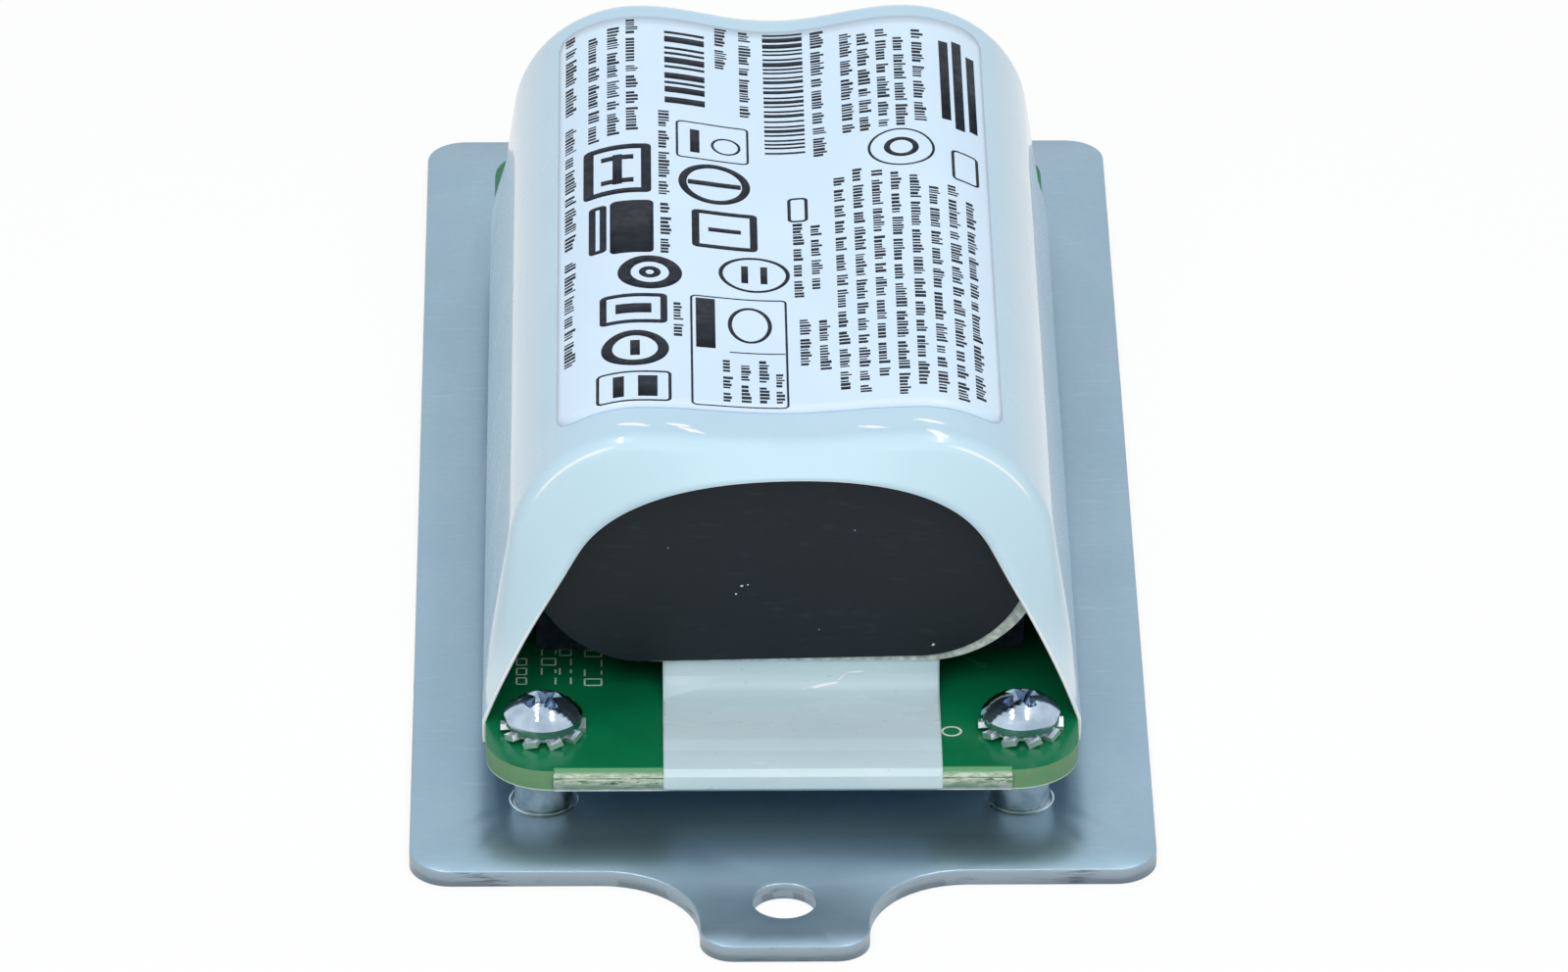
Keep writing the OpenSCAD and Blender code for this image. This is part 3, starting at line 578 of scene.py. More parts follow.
def placeStudio():
    floorMesh = bmesh.new()
    bmesh.ops.create_grid(floorMesh, x_segments=1, y_segments=1, size=studio["floorSize"] / 2,
                          matrix=Matrix.Translation((0, 0, -studio["floorDrop"])))
    mesh = bpy.data.meshes.new("floor")
    floorMesh.to_mesh(mesh)
    floorMesh.free()
    floor = addObject("floor", mesh)
    tree, shader = startFinish("pale_floor")
    setShader(tree, shader, {
        "Base Color": paint(250, 251, 252), "Roughness": 0.9, "Specular IOR Level": 0.1})
    glow = addNode(tree, "Emission", None, {0: (1, 1, 1, 1), 1: 1.0})
    share = times(tree, seenOrMirrored(tree), studio["whiteShare"])
    mixed = addNode(tree, "MixShader", None, {0: share, 1: shader.outputs[0], 2: glow.outputs[0]})
    tree.links.new(mixed.outputs[0], tree.nodes["Material Output"].inputs[0])
    mesh.materials.append(finishes["pale_floor"])

    world = bpy.data.worlds.new("studio")
    scene.world = world
    world.use_nodes = True
    tree = world.node_tree
    back = tree.nodes["Background"]
    direct = addNode(tree, "LightPath").outputs["Is Camera Ray"]
    tree.links.new(mixColour(tree, direct, (*studio["sky"], 1), (1, 1, 1, 1)), back.inputs[0])
    strength = spread(tree, seenOrMirrored(tree), 0, 1, studio["daylight"], 1.0)
    tree.links.new(strength, back.inputs[1])

    strips, fill = studio["strips"], studio["fill"]
    for side, name in ((-1, "leftStrip"), (1, "rightStrip")):
        spot = (side * strips["x"], strips["y"], strips["z"])
        addLamp(name, spot, (0, 0, -1), strips["width"], strips["length"], strips["power"])
    aim = -Vector(fill["spot"])
    addLamp("frontFill", fill["spot"], aim, fill["width"], fill["height"], fill["power"], False)


placeCamera()
placeStudio()
scene.view_settings.view_transform = "Standard"
print("camera, floor and lamps placed")


# Steel plate
plate = dict(edgeBreak=0.14 * mm, breakSteps=2, flatness=0.4, coplanar=0.5, rimAngle=60)


def makePlate():
    bm = mergedCopy("base_plate")
    bmesh.ops.dissolve_limit(bm, angle_limit=math.radians(plate["coplanar"]), verts=bm.verts, edges=bm.edges)
    rim = [e for e in bm.edges if e.is_manifold and e.calc_face_angle() > math.radians(plate["rimAngle"])
           and min(v.co.z for v in e.verts) > plateHigh.z - tiny]
    bmesh.ops.bevel(bm, geom=rim, offset=plate["edgeBreak"], affect="EDGES", segments=plate["breakSteps"],
                    profile=0.5, material=-1)
    bmesh.ops.triangulate(bm, faces=[f for f in bm.faces if len(f.verts) > 4])
    bm.normal_update()
    for face in bm.faces:
        face.material_index = 0 if abs(face.normal.z) > plate["flatness"] else 1
    makePiece("steelPlate", bm, ["zinc_sheet", "sheared_edge"], ["base_plate"], 40)


makePlate()
print("steel plate made")


# Shrink film; each arch is (points from the board's corner in mm, x of the last but one)
film = dict(
    gap=0.02 * mm, thickness=0.25 * mm, slack=0.28 * mm, frontDip=0.5 * mm, rearDip=1.4 * mm,
    opening=18.7 * mm, frontArch=([(-5.72, 14.65), (-8.07, 9.06)], 18.45 * mm), frontBreaks=(0.5, 0.83),
    lean=0.22 * mm, rise=0.024, rearOpening=5.4 * mm, rearArch=([(-3.6, 13.5)], 15 * mm),
    rearBreaks=(0.45, 0.72), frontTurn=0.95 * mm, rearTurn=0.7 * mm, turnSize=(0.8 * mm, 3 * mm),
    lip=4.5 * mm, lipRise=1.7 * mm, lipSpan=13.5 * mm, lipEnd=(1.5 * mm, 1.8 * mm),
    lipFade=(0.6 * mm, 2.5 * mm), rearLip=(6.8 * mm, 3.4 * mm), rearLipSpan=(8 * mm, 9 * mm),
    bendSteps=9, lipSteps=6, bodySteps=40,
    counts=dict(under=12, edge=4, panel=18, arc=30, valley=24))
filmWave = dict(slow=(150, 90, 150), quick=(420, 260, 420), offset=(7, 3, 1),
                heights=(0.035 * mm, 0.012 * mm), lipHeights=(0.05 * mm, 0.015 * mm),
                labelFade=(0.1 * mm, 2.5 * mm), edgeRoom=0.2 * mm)
filmR = cellR + film["gap"]
filmX = cellX + film["slack"]
filmHalf = boardHigh.x + film["gap"]
filmFloor = boardLow.z - film["gap"]


def bezier(points, t):  # of any order, by repeated mixing
    while len(points) > 1:
        points = [mixPoints(a, b, t) for a, b in zip(points, points[1:])]
    return points[0]


def lowerHalf():  # under the board and up its edge, shared by the section and the openings
    counts = film["counts"]
    under = [(blend(0, filmHalf, (i / counts["under"]) ** 0.6), filmFloor) for i in range(counts["under"])]
    edge = [(filmHalf, blend(filmFloor, boardHigh.z, i / counts["edge"])) for i in range(counts["edge"])]
    return under + edge


def valleyZ(x, dip):
    return cellZ + filmR - dip * (1 + math.cos(math.pi * x / filmX)) / 2


def sectionHalf(dip):
    counts = film["counts"]
    drop, run = cellZ - boardHigh.z, filmHalf - filmX
    tangent = math.acos(filmR / math.hypot(drop, run)) - math.atan2(drop, run)
    landing = (filmX + filmR * math.cos(tangent), cellZ + filmR * math.sin(tangent))
    panel = [mixPoints((filmHalf, boardHigh.z), landing, i / counts["panel"]) for i in range(counts["panel"])]
    arc = [(filmX + filmR * math.cos(a), cellZ + filmR * math.sin(a))
           for a in steps(tangent, math.pi / 2, counts["arc"])]
    valley = [(x, valleyZ(x, dip)) for x in steps(filmX, 0, counts["valley"])[1:]]
    return lowerHalf() + panel + arc + valley


def openingHalf(arch, firstBreak, lastBreak):
    counts = film["counts"]
    spans = [(0, firstBreak, counts["panel"]), (firstBreak, lastBreak, counts["arc"]),
             (lastBreak, 1, counts["valley"])]
    ts = [blend(a, b, i / n) for a, b, n in spans for i in range(n)] + [1]
    return lowerHalf() + [bezier(arch, t) for t in ts]


def fullLoop(half):
    return half + [(-x, z) for x, z in reversed(half[1:-1])]


def panelShare(z):
    return clamp((cellZ - z) / (cellZ - boardHigh.z))


def leaning(x, z):  # the front opening leans and rises a little to the right
    share = max(0, z - boardHigh.z) / film["opening"]
    return x + film["lean"] * share * share, z + film["rise"] * share * x


def frontEdge(x, z):  # y of the front lip's edge
    start = cellLow.y - film["lip"]
    if z > boardHigh.z - tiny:
        return start + film["lipRise"] * min(1, (z - boardHigh.z) / film["lipSpan"])
    back, run = film["lipEnd"]
    return start + back * min(1, (filmHalf - abs(x)) / run)


def rearEdge(z):
    far, back = film["rearLip"]
    start, run = film["rearLipSpan"]
    return cellHigh.y + blend(far, back, clamp((z - boardHigh.z - start) / run))


def bendLine(point, turn, size, edge, direction):  # from the body, round the turn, to the opening's edge
    corner = Vector((point[0], turn, point[1]))
    ahead = edge - corner
    reach = min(size, 0.6 * ahead.length)
    start = corner + Vector((0, direction * size, 0))
    stop = corner + ahead.normalized() * reach
    line = [start * (1 - t) ** 2 + corner * 2 * t * (1 - t) + stop * t * t
            for t in steps(0, 1, film["bendSteps"])]
    return line + [stop.lerp(edge, t) for t in steps(0, 1, film["lipSteps"])[1:]]


def archPoints(outer, inner, top):
    points = [(filmHalf + x * mm, boardHigh.z + z * mm) for x, z in outer]
    return [(filmHalf, boardHigh.z)] + points + [(inner, top), (0, top)]


def filmRows():
    frontArch = archPoints(*film["frontArch"], boardHigh.z + film["opening"])
    rearArch = archPoints(*film["rearArch"], cellZ + film["rearOpening"])
    front, rear = fullLoop(sectionHalf(film["frontDip"])), fullLoop(sectionHalf(film["rearDip"]))
    frontHole = [leaning(x, z) for x, z in fullLoop(openingHalf(frontArch, *film["frontBreaks"]))]
    rearHole = fullLoop(openingHalf(rearArch, *film["rearBreaks"]))
    lines = []
    for p, q, a, b in zip(front, rear, frontHole, rearHole):
        sizes = [blend(*film["turnSize"], panelShare(z)) for z in (p[1], q[1])]
        turn = cellLow.y - film["frontTurn"] * (1 - panelShare(p[1]))
        head = bendLine(p, turn, sizes[0], Vector((a[0], frontEdge(*a), a[1])), 1)
        turn = cellHigh.y + film["rearTurn"]
        tail = bendLine(q, turn, sizes[1], Vector((b[0], rearEdge(b[1]), b[1])), -1)
        body = [head[0].lerp(tail[0], t) for t in steps(0, 1, film["bodySteps"])[1:-1]]
        lines.append(head[::-1] + body + tail)
    return lines


# Soft dents and short creases: (x, y, length along x, width along y, height), in mm
filmCreases = [(-2.3, -33.9, 4.4, 0.5, 0.05), (-5.6, -33.4, 2.2, 0.4, 0.04), (-9.6, -33.2, 2.4, 0.45, 0.05),
               (5.6, -33.7, 2.4, 0.4, 0.05), (9.6, -33.3, 3.6, 0.5, 0.06), (12.6, -33.6, 1.6, 0.4, 0.04)]


def labelMask(x, y):  # 0 under the label, 1 well clear of it
    side = max(labelLow.x - x, x - labelHigh.x)
    end = max(labelLow.y - y, y - labelHigh.y)
    return smooth(max(side, end), *filmWave["labelFade"])


def filmRipple(p, onLip):
    free = labelMask(p.x, p.y) if p.z > cellZ else 1
    waves = (wave(p, filmWave["slow"]), wave(p, filmWave["quick"], filmWave["offset"]))
    ripple = free * sum(height * (0.5 + 0.5 * one) for height, one in zip(filmWave["heights"], waves))
    ripple += onLip * sum(height * one for height, one in zip(filmWave["lipHeights"], waves))
    if p.z > cellZ:
        for x, y, length, width, height in filmCreases:
            along, across = (p.x / mm - x) / length, (p.y / mm - y) / width
            ripple += height * mm * math.exp(-4 * along * along - across * across)
    return ripple


def makeFilm():
    lines = filmRows()
    rows, columns = len(lines[0]), len(lines)
    bm = bmesh.new()
    for vert in addGrid(bm, columns, rows - 1):
        i = round((vert.co.x + 0.5) * columns) % columns
        j = round((vert.co.y + 0.5) * (rows - 1))
        vert.co = lines[i][j]
    bmesh.ops.remove_doubles(bm, verts=bm.verts, dist=weld)
    turnOut(bm, Vector((0, 0, 1)))
    shifts = [(v, v.normal * filmRipple(v.co, smooth(cellLow.y - v.co.y, *film["lipFade"])))
              for v in bm.verts]
    for vert, shift in shifts:
        if vert.co.z >= boardHigh.z + filmWave["edgeRoom"]:
            vert.co += shift
    piece = makePiece("shrinkFilm", bm, ["white_film", "cut_film"],
                      ["shrink_sleeve"], 50)
    thicken(piece, thickness=film["thickness"], offset=1, use_even_offset=False, material_offset_rim=1)
    return piece


filmPiece = makeFilm()
print("shrink film made")


# Label
label = dict(gap=0.01 * mm, thickness=0.05 * mm, cornerR=1.5 * mm, across=96, along=40)


def makeLabel():
    under = surfaceTree(filmPiece)
    bm = bmesh.new()
    for vert in addGrid(bm, label["across"], label["along"]):
        x = blend(labelLow.x, labelHigh.x, vert.co.x + 0.5)
        side = min(x - labelLow.x, labelHigh.x - x)
        r = label["cornerR"]
        cut = r - math.sqrt(max(0, r * r - (r - side) ** 2)) if side < r else 0
        y = blend(labelLow.y + cut, labelHigh.y - cut, vert.co.y + 0.5)
        vert.co = (x, y, heightOn(under, x, y) + label["gap"])
    piece = makePiece("batteryLabel", bm, ["label_film"], ["sleeve_label"], 50)
    thicken(piece, thickness=label["thickness"], offset=1)
    return piece


labelPiece = makeLabel()
print("label made")


# Tape over the board's front edge
tape = dict(thickness=0.1 * mm, across=100, count=180, bendR=1.45 * mm, rise=0.2 * mm, spanTop=8.17 * mm,
            spanLength=2.45 * mm, spanWidth=7.1 * mm, under=6.2 * mm, chamfer=0.35 * mm,
            lift=(2.8 * mm, 0.02 * mm), climb=4.1 * mm, waves=(90, 500, 500), ripple=0.014 * mm)


def tapePath():  # side view as (y, z), from under the board, round its edge, to the climb up the link
    top = boardHigh.z + tape["rise"]
    front = tapeLow.y + tape["thickness"]
    back = tapeHigh.y - tape["thickness"]
    r, chamfer = tape["bendR"], tape["chamfer"]
    path = [(tape["under"], boardLow.z), (chamfer, boardLow.z), (0, boardLow.z + chamfer),
            (0, boardHigh.z - chamfer), (chamfer, boardHigh.z),
            (tape["lift"][0], boardHigh.z + tape["lift"][1]), (tape["climb"], top)]
    path = [(front + y, z) for y, z in path]
    arc = [(back - r + r * math.sin(a), top + r - r * math.cos(a)) for a in steps(0, math.pi / 2, 10)]
    return path + arc + [(back, tapeHigh.z)]


def along(path, count):  # the path cut into even lengths
    lengths = [math.dist(a, b) for a, b in zip(path, path[1:])]
    total = sum(lengths)
    points = []
    for target in steps(0, total, count):
        for (a, b), length in zip(zip(path, path[1:]), lengths):
            if target <= length or (a, b) == (path[-2], path[-1]):
                t = clamp(target / length)
                points.append(mixPoints(a, b, t))
                break
            target -= length
    return points


def spanned(path, index, x):  # near its left edge the tape bridges the bend in a straight facet
    stop = next(i for i, point in enumerate(path) if point[1] > tape["spanTop"])
    reach = 1 - math.sqrt(clamp((x - tapeLow.x) / tape["spanWidth"]))
    start = stop - reach * tape["spanLength"] / math.dist(path[0], path[1])
    if not start < index < stop:
        return path[index]
    low, part = math.floor(start), start - math.floor(start)
    first = mixPoints(path[low], path[low + 1], part)
    return mixPoints(first, path[stop], (index - start) / (stop - start))


def makeTape():
    path = along(tapePath(), tape["count"])
    bm = bmesh.new()
    for vert in addGrid(bm, tape["across"], len(path) - 1):
        x = blend(tapeLow.x, tapeHigh.x, vert.co.x + 0.5)
        y, z = spanned(path, round((vert.co.y + 0.5) * (len(path) - 1)), x)
        vert.co = (x, y, z)
    turnOut(bm, Vector((0, -1, 0)))
    shifts = [(v, v.normal * tape["ripple"] * (0.5 + 0.5 * wave(v.co, tape["waves"]))) for v in bm.verts]
    for vert, shift in shifts:
        vert.co += shift
    piece = makePiece("edgeTape", bm, ["white_tape", "cut_film"],
                      ["edge_tape"], 14)
    thicken(piece, thickness=tape["thickness"], offset=1, material_offset_rim=1)


makeTape()
print("tape made")


# Generic print on the label: plain forms as (kind, u, v, width, length, wall), in mm from its corner
printed = dict(rise=0.012 * mm, depth=0.03 * mm, cut=0.8 * mm, seed=11, dash=(0.16, 0.42),
               dashGap=(0.12, 0.2), dashHeights=(1.0, 0.72, 0.72, 0.86), row=(3, 9), rowGap=0.55, rowRoom=0.8,
               stripes=(0.35, 0.35, 0.6, 0.85), stripeGaps=(0.4, 0.4, 0.7), corner=(0.45, 0.3))
printMarks = [
    ("frame", 4.35, 36.0, 5.0, 7.6, 0.75), ("bar", 4.35, 36.0, 0.7, 4.6), ("bar", 4.35, 34.2, 2.4, 0.7),
    ("bar", 4.35, 37.8, 2.4, 0.7), ("block", 5.4, 27.0, 3.2, 8.0), ("frame", 2.9, 27.2, 1.3, 7.2, 0.5),
    ("frame", 11.4, 41.0, 5.4, 5.8, 0.17), ("ring", 12.4, 40.6, 2.2, 2.6, 0.2),
    ("bar", 10.1, 40.9, 0.7, 3.6), ("ring", 11.5, 34.4, 5.3, 6.2, 0.6), ("bar", 11.5, 34.4, 3.9, 0.7),
    ("frame", 12.2, 27.3, 4.8, 5.8, 0.55), ("bar", 12.2, 27.3, 2.4, 0.6),
    ("ring", 14.3, 20.8, 5.2, 5.4, 0.3), ("bar", 13.6, 20.8, 0.5, 2.6), ("bar", 15.0, 20.8, 0.5, 2.6),
    ("ring", 6.7, 20.0, 4.7, 5.0, 0.95), ("ring", 6.7, 20.0, 1.6, 1.7, 0.5),
    ("frame", 5.5, 14.6, 4.9, 4.4, 0.5), ("bar", 5.5, 14.6, 2.6, 1.4), ("ring", 5.6, 8.7, 4.9, 5.2, 0.8),
    ("bar", 5.6, 8.7, 0.7, 2.2), ("frame", 5.5, 3.1, 5.4, 4.4, 0.22), ("bar", 4.4, 3.1, 0.8, 3.0),
    ("bar", 6.5, 3.1, 1.4, 3.0), ("frame", 13.1, 8.8, 7.0, 16.4, 0.16), ("bar", 10.7, 12.9, 1.4, 7.4),
    ("bar", 14.4, 8.8, 4.0, 0.14), ("ring", 13.9, 13.0, 3.2, 5.4, 0.3), ("ring", 25.4, 39.2, 5.0, 5.8, 0.2),
    ("ring", 25.4, 39.2, 2.6, 3.0, 0.45), ("frame", 30.1, 37.4, 2.0, 4.6, 0.22),
    ("frame", 17.6, 31.0, 1.5, 3.8, 0.24), ("bar", 28.9, 50.5, 0.7, 12.5), ("bar", 29.9, 50.2, 0.7, 14.0),
    ("bar", 30.9, 49.6, 0.6, 12.0),
]
printStripes = [(7.9, 10.9, 46.5, 58.5, 1.1), (15.3, 18.3, 40.0, 59.6, 0.8)]  # u and v from, to; pitch
printRows = [  # rows of short dashes: u from, u to, v from, v to
    (0.5, 1.3, 8.5, 24.0), (0.5, 1.3, 26.0, 45.5), (0.5, 1.3, 47.0, 59.2), (2.2, 3.0, 41.0, 58.8),
    (3.6, 4.5, 41.5, 59.4), (5.0, 5.9, 42.0, 59.6), (7.4, 8.2, 32.0, 45.2), (7.5, 8.3, 23.0, 30.5),
    (11.7, 12.6, 53.2, 59.6), (13.5, 14.4, 45.8, 59.8), (18.9, 19.9, 39.2, 59.2), (21.1, 22.0, 42.3, 59.0),
    (22.4, 23.3, 42.2, 58.4), (23.8, 24.7, 42.6, 58.0), (25.1, 26.0, 42.6, 58.0), (26.5, 27.4, 43.4, 57.8),
    (17.2, 18.0, 17.4, 28.5), (18.5, 19.3, 18.5, 28.5), (18.9, 19.7, 6.2, 14.5), (17.5, 18.3, 7.0, 14.0),
    (20.3, 21.1, 3.0, 36.6), (21.7, 22.5, 2.4, 36.2), (23.1, 23.9, 4.6, 35.8), (24.5, 25.3, 1.8, 35.4),
    (25.9, 26.7, 3.2, 35.0), (27.3, 28.1, 2.2, 34.6), (28.7, 29.5, 1.6, 33.6), (30.0, 30.7, 2.6, 32.4),
    (11.9, 12.6, 1.4, 7.6), (13.2, 13.9, 1.4, 7.0), (14.5, 15.2, 1.4, 7.8), (15.7, 16.3, 1.4, 7.2),
    (8.4, 9.1, 10.6, 16.6),
]


def addPatch(bm, kind, u, v, width, length, wall=0):  # one flat shape, drawn on the plane first
    one = bmesh.new()
    spot = placed((u * mm, v * mm, 0), (width * mm, length * mm, 1))
    if kind == "ring":
        bmesh.ops.create_circle(one, cap_ends=True, segments=40, radius=0.5, matrix=spot)
    else:
        bmesh.ops.create_grid(one, x_segments=1, y_segments=1, size=0.5, matrix=spot)
    if kind in ("frame", "block"):
        largest, share = printed["corner"]
        bmesh.ops.bevel(one, geom=one.verts[:] + one.edges[:], offset=min(largest, width * share) * mm,
                        affect="VERTICES", segments=4, profile=0.5, material=-1)
    if wall:
        middle = one.faces[:]
        bmesh.ops.inset_region(one, faces=middle, thickness=wall * mm, use_boundary=True,
                               use_even_offset=True)
        bmesh.ops.delete(one, geom=middle, context="FACES")
    joinInto(bm, one)


def makePrint():
    shaker = random.Random(printed["seed"])
    flat = bmesh.new()
    for mark in printMarks:
        addPatch(flat, *mark)
    for left, right, low, high, pitch in printStripes:
        v = low
        while v < high:
            stripe = shaker.choice(printed["stripes"]) * pitch
            addPatch(flat, "bar", (left + right) / 2, v + stripe / 2, right - left, stripe)
            v += stripe + shaker.choice(printed["stripeGaps"]) * pitch
    for left, right, low, high in printRows:
        v = low
        while v < high - printed["rowRoom"]:
            for _ in range(shaker.randint(*printed["row"])):
                if v > high:
                    break
                wide = shaker.uniform(*printed["dash"])
                tall = shaker.choice(printed["dashHeights"]) * (right - left)
                addPatch(flat, "bar", left + tall / 2, v + wide / 2, tall, wide)
                v += wide + shaker.uniform(*printed["dashGap"])
            v += printed["rowGap"]
    bmesh.ops.translate(flat, verts=flat.verts, vec=(labelLow.x, labelLow.y, 0))
    for x in steps(labelLow.x, labelHigh.x, round((labelHigh.x - labelLow.x) / printed["cut"])):
        bmesh.ops.bisect_plane(flat, geom=flat.verts[:] + flat.edges[:] + flat.faces[:], plane_co=(x, 0, 0),
                               plane_no=(1, 0, 0), dist=weld)
    flat.normal_update()
    bmesh.ops.reverse_faces(flat, faces=[f for f in flat.faces if f.normal.z < 0])
    under = surfaceTree(labelPiece)
    for vert in flat.verts:
        vert.co.z = heightOn(under, vert.co.x, vert.co.y) + printed["rise"]
    piece = makePiece("labelPrint", flat, ["print_ink"], (), 60)
    thicken(piece, thickness=printed["depth"], offset=-1)


makePrint()
print("label print made")


# Snapped edge of the board, either side of the tape
score = dict(half=16.3 * mm, step=0.09 * mm, rows=18, rough=0.06 * mm, setback=0.3 * mm, overlap=0.4 * mm,
             fade=0.3 * mm, depth=0.15 * mm, fine=(900, 2500, 4500), coarse=(250, 1, 2500), share=0.6,
             lift=0.3,
             upper=[(0.5, 0.006), (0.22, -0.12), (-0.12, -0.3), (-0.33, -0.52)],
             lower=[(-0.34, 0.5), (-0.2, 0.26), (-0.16, 0.03), (0.1, -0.01)])


def makeScore():
    bm = bmesh.new()
    front = boardLow.y + score["setback"]
    profile = [(front + out * mm, face + up * mm) for face, points in
               ((boardHigh.z, score["upper"]), (boardLow.z, score["lower"])) for out, up in points]
    path = along(profile, score["rows"])
    under = score["overlap"]
    for left, right in ((-score["half"], tapeLow.x + under), (tapeHigh.x - under, score["half"])):
        for vert in addGrid(bm, round((right - left) / score["step"]), score["rows"]):
            y, z = path[round((vert.co.y + 0.5) * score["rows"])]
            x = blend(left, right, vert.co.x + 0.5)
            torn = wave((x, y, z), score["fine"]) + score["share"] * wave((x, 0, z), score["coarse"])
            torn *= score["rough"] * clamp(min(z - boardLow.z, boardHigh.z - z) / score["fade"])
            vert.co = (x, y + torn, z + score["lift"] * torn)
    bm.normal_update()
    if sum(f.normal.y for f in bm.faces) > 0:
        bmesh.ops.reverse_faces(bm, faces=bm.faces)
    piece = makePiece("scoreFibres", bm, ["score_fibre"], (), 60)
    thicken(piece, thickness=score["depth"], offset=-1)


makeScore()
print("snapped edge made")


# Clinched metal round each standoff's foot
clinch = dict(inner=2.08 * mm, outer=2.5 * mm, height=0.07 * mm, slopes=(0.12 * mm, 0.1 * mm), inside=0.8,
              turns=48, waves=(900, 900, 900), rough=0.02 * mm)


def makeClinch():
    bm = bmesh.new()
    inner, outer, height = clinch["inner"], clinch["outer"], clinch["height"]
    corners = [(inner, -tiny), (outer, -tiny), (outer - clinch["slopes"][1], height),
               (inner + clinch["slopes"][0], height * clinch["inside"])]
    for x, y in screwSpots:
        verts = [bm.verts.new((x + r, y, plateHigh.z + z)) for r, z in corners]
        edges = [bm.edges.new((a, b)) for a, b in zip(verts, verts[1:] + verts[:1])]
        bmesh.ops.spin(bm, geom=verts + edges, cent=(x, y, 0), axis=(0, 0, 1), angle=2 * math.pi,
                       steps=clinch["turns"], use_merge=True)
    bmesh.ops.remove_doubles(bm, verts=bm.verts, dist=weld)
    for vert in bm.verts:
        if vert.co.z > plateHigh.z:
            vert.co.z += clinch["rough"] * wave(vert.co, clinch["waves"])
    bmesh.ops.recalc_face_normals(bm, faces=bm.faces)
    makePiece("clinchRims", bm, ["zinc_standoff"], (), 40)


makeClinch()
print("clinched rims made")


# Tracks under the mask, and the plain marks printed on the board
tracks = dict(width=0.35 * mm, height=0.03 * mm, sunk=0.02 * mm, overlap=0.4, dotR=(0.42 * mm, 0.38 * mm),
              dotHeight=1.2)
trackRuns = [  # points in mm
    [(-11, 39.2), (-11, 30), (-7.5, 26.5), (-7.5, 9)], [(-9, 39.2), (-9, 31), (-5.8, 27.8), (-5.8, 9)],
    [(9, 39.2), (9, 32), (4, 27), (4, 9)], [(11, 39.2), (11, 33), (13.4, 30.6), (13.4, -30), (14.5, -31.1)],
    [(-13.4, 36), (-19.5, 36)], [(13.4, 36.5), (19.6, 36.5)],
]
trackDots = [(14.5, -31.1), (-19.5, 36), (19.6, 36.5), (-11, 39.2), (11, 39.2)]


def makeTracks():
    bm = bmesh.new()
    base = boardHigh.z - tracks["sunk"]
    for run in trackRuns:
        for (ax, ay), (bx, by) in zip(run, run[1:]):
            middle = ((ax + bx) / 2 * mm, (ay + by) / 2 * mm, base + tracks["height"] / 2)
            length = math.dist((ax, ay), (bx, by)) * mm + tracks["width"] * tracks["overlap"]
            addBlock(bm, middle, (length, tracks["width"], tracks["height"]), math.atan2(by - ay, bx - ax))
    depth = tracks["height"] * tracks["dotHeight"]
    for x, y in trackDots:
        spot = Matrix.Translation((x * mm, y * mm, base + depth / 2))
        bmesh.ops.create_cone(bm, cap_ends=True, segments=20, radius1=tracks["dotR"][0],
                              radius2=tracks["dotR"][1], depth=depth, matrix=spot)
    makePiece("boardTracks", bm, ["copper_mask"])


silk = dict(height=0.012 * mm, stroke=0.13, tall=0.9, short=0.5, pitch=1.35, seed=5,
            kinds=("frame", "pair", "frame", "bar"), ring=(12.1, -40.4, 1.5, 1.4), wall=0.16,
            columns=[(-19.0, -18.3, -33.6, -29.6), (-17.2, -16.2, -33.6, -26.0), (-15.9, -15.1, -33.6, -27.2),
                     (-14.1, -12.9, -33.8, -25.6)])


def addStroke(bm, x, y, wide, long):
    addBlock(bm, (x * mm, y * mm, boardHigh.z), (wide * mm, long * mm, silk["height"] * 2))


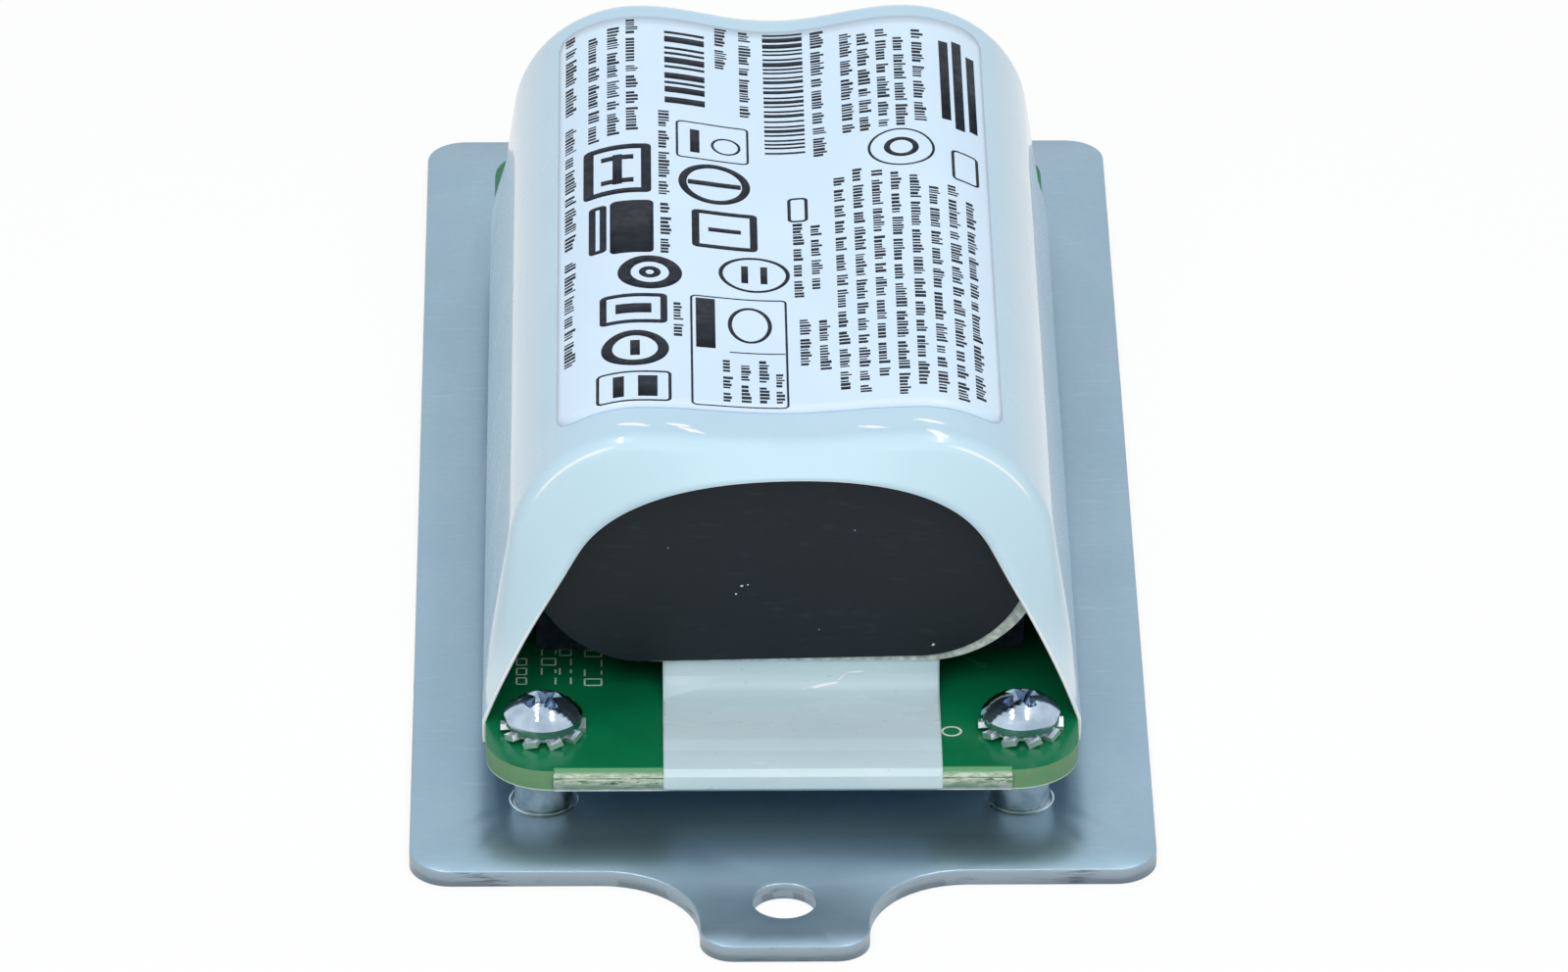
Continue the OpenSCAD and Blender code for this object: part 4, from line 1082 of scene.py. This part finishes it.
def makeSilk():  # columns of plain strokes, pairs and frames, and one ring
    shaker = random.Random(silk["seed"])
    bm = bmesh.new()
    thin, tall = silk["stroke"], silk["tall"]
    for left, right, low, high in silk["columns"]:
        y = low
        while y < high:
            kind = shaker.choice(silk["kinds"])
            if kind != "bar":
                addStroke(bm, left, y + tall / 2, thin, tall)
            addStroke(bm, right, y + tall / 2, thin, silk["short"] if kind == "pair" else tall)
            for end in (y, y + tall) if kind == "frame" else ():
                addStroke(bm, (left + right) / 2, end, right - left, thin)
            y += silk["pitch"]
    one = bmesh.new()
    addPatch(one, "ring", *silk["ring"], silk["wall"])
    bmesh.ops.solidify(one, geom=one.faces[:], thickness=silk["height"])
    bmesh.ops.translate(one, verts=one.verts, vec=(0, 0, boardHigh.z + silk["height"] / 2))
    bmesh.ops.recalc_face_normals(one, faces=one.faces)
    joinInto(bm, one)
    makePiece("boardMarks", bm, ["silk_ink"])


makeTracks()
makeSilk()
print("board marks made")


# Solder at the feet of the nickel strips
solder = dict(feet=[(-9.75, 36.2, 3.9, 1.4), (9.75, 36.2, 3.9, 1.4)], lift=0.12 * mm, height=0.5 * mm,
              sunk=0.02 * mm, waves=(700, 700, 700), rough=0.05 * mm)


def makeSolder():
    bm = bmesh.new()
    for x, y, wide, long in solder["feet"]:
        centre = (x * mm, y * mm, boardHigh.z + solder["lift"])
        spot = placed(centre, (wide * mm, long * mm, solder["height"]))
        dome = bmesh.ops.create_uvsphere(bm, u_segments=28, v_segments=12, radius=0.5, matrix=spot)["verts"]
        for vert in dome:
            vert.co.z = max(vert.co.z, boardHigh.z - solder["sunk"])
            if vert.co.z > boardHigh.z:
                vert.co.z += solder["rough"] * wave(vert.co, solder["waves"])
    makePiece("tabSolder", bm, ["solder"], (), 60)


makeSolder()
print("solder made")


# Specks of dust on the black end sheet, as (x, z, size) in mm
dust = dict(flat=0.4, rough=0.3, waves=(9000, 9000, 9000))
dustSpots = [(-2.84, 16.05, 0.2), (-3.26, 15.4, 0.16), (-2.42, 16.13, 0.12), (10.86, 11.11, 0.2),
             (5.2, 20.6, 0.08), (-8.1, 19.2, 0.08), (2.7, 12.4, 0.07)]


def makeDust():
    bm = bmesh.new()
    for x, z, size in dustSpots:
        size *= mm
        spot = placed((x * mm, sheetLow.y, z * mm), (size, size * dust["flat"], size))
        for vert in bmesh.ops.create_icosphere(bm, subdivisions=2, radius=0.5, matrix=spot)["verts"]:
            vert.co += Vector((1, 0, 1)) * size * dust["rough"] * wave(vert.co, dust["waves"])
    makePiece("dustSpecks", bm, ["dust"], (), 80)


makeDust()
print("dust made")
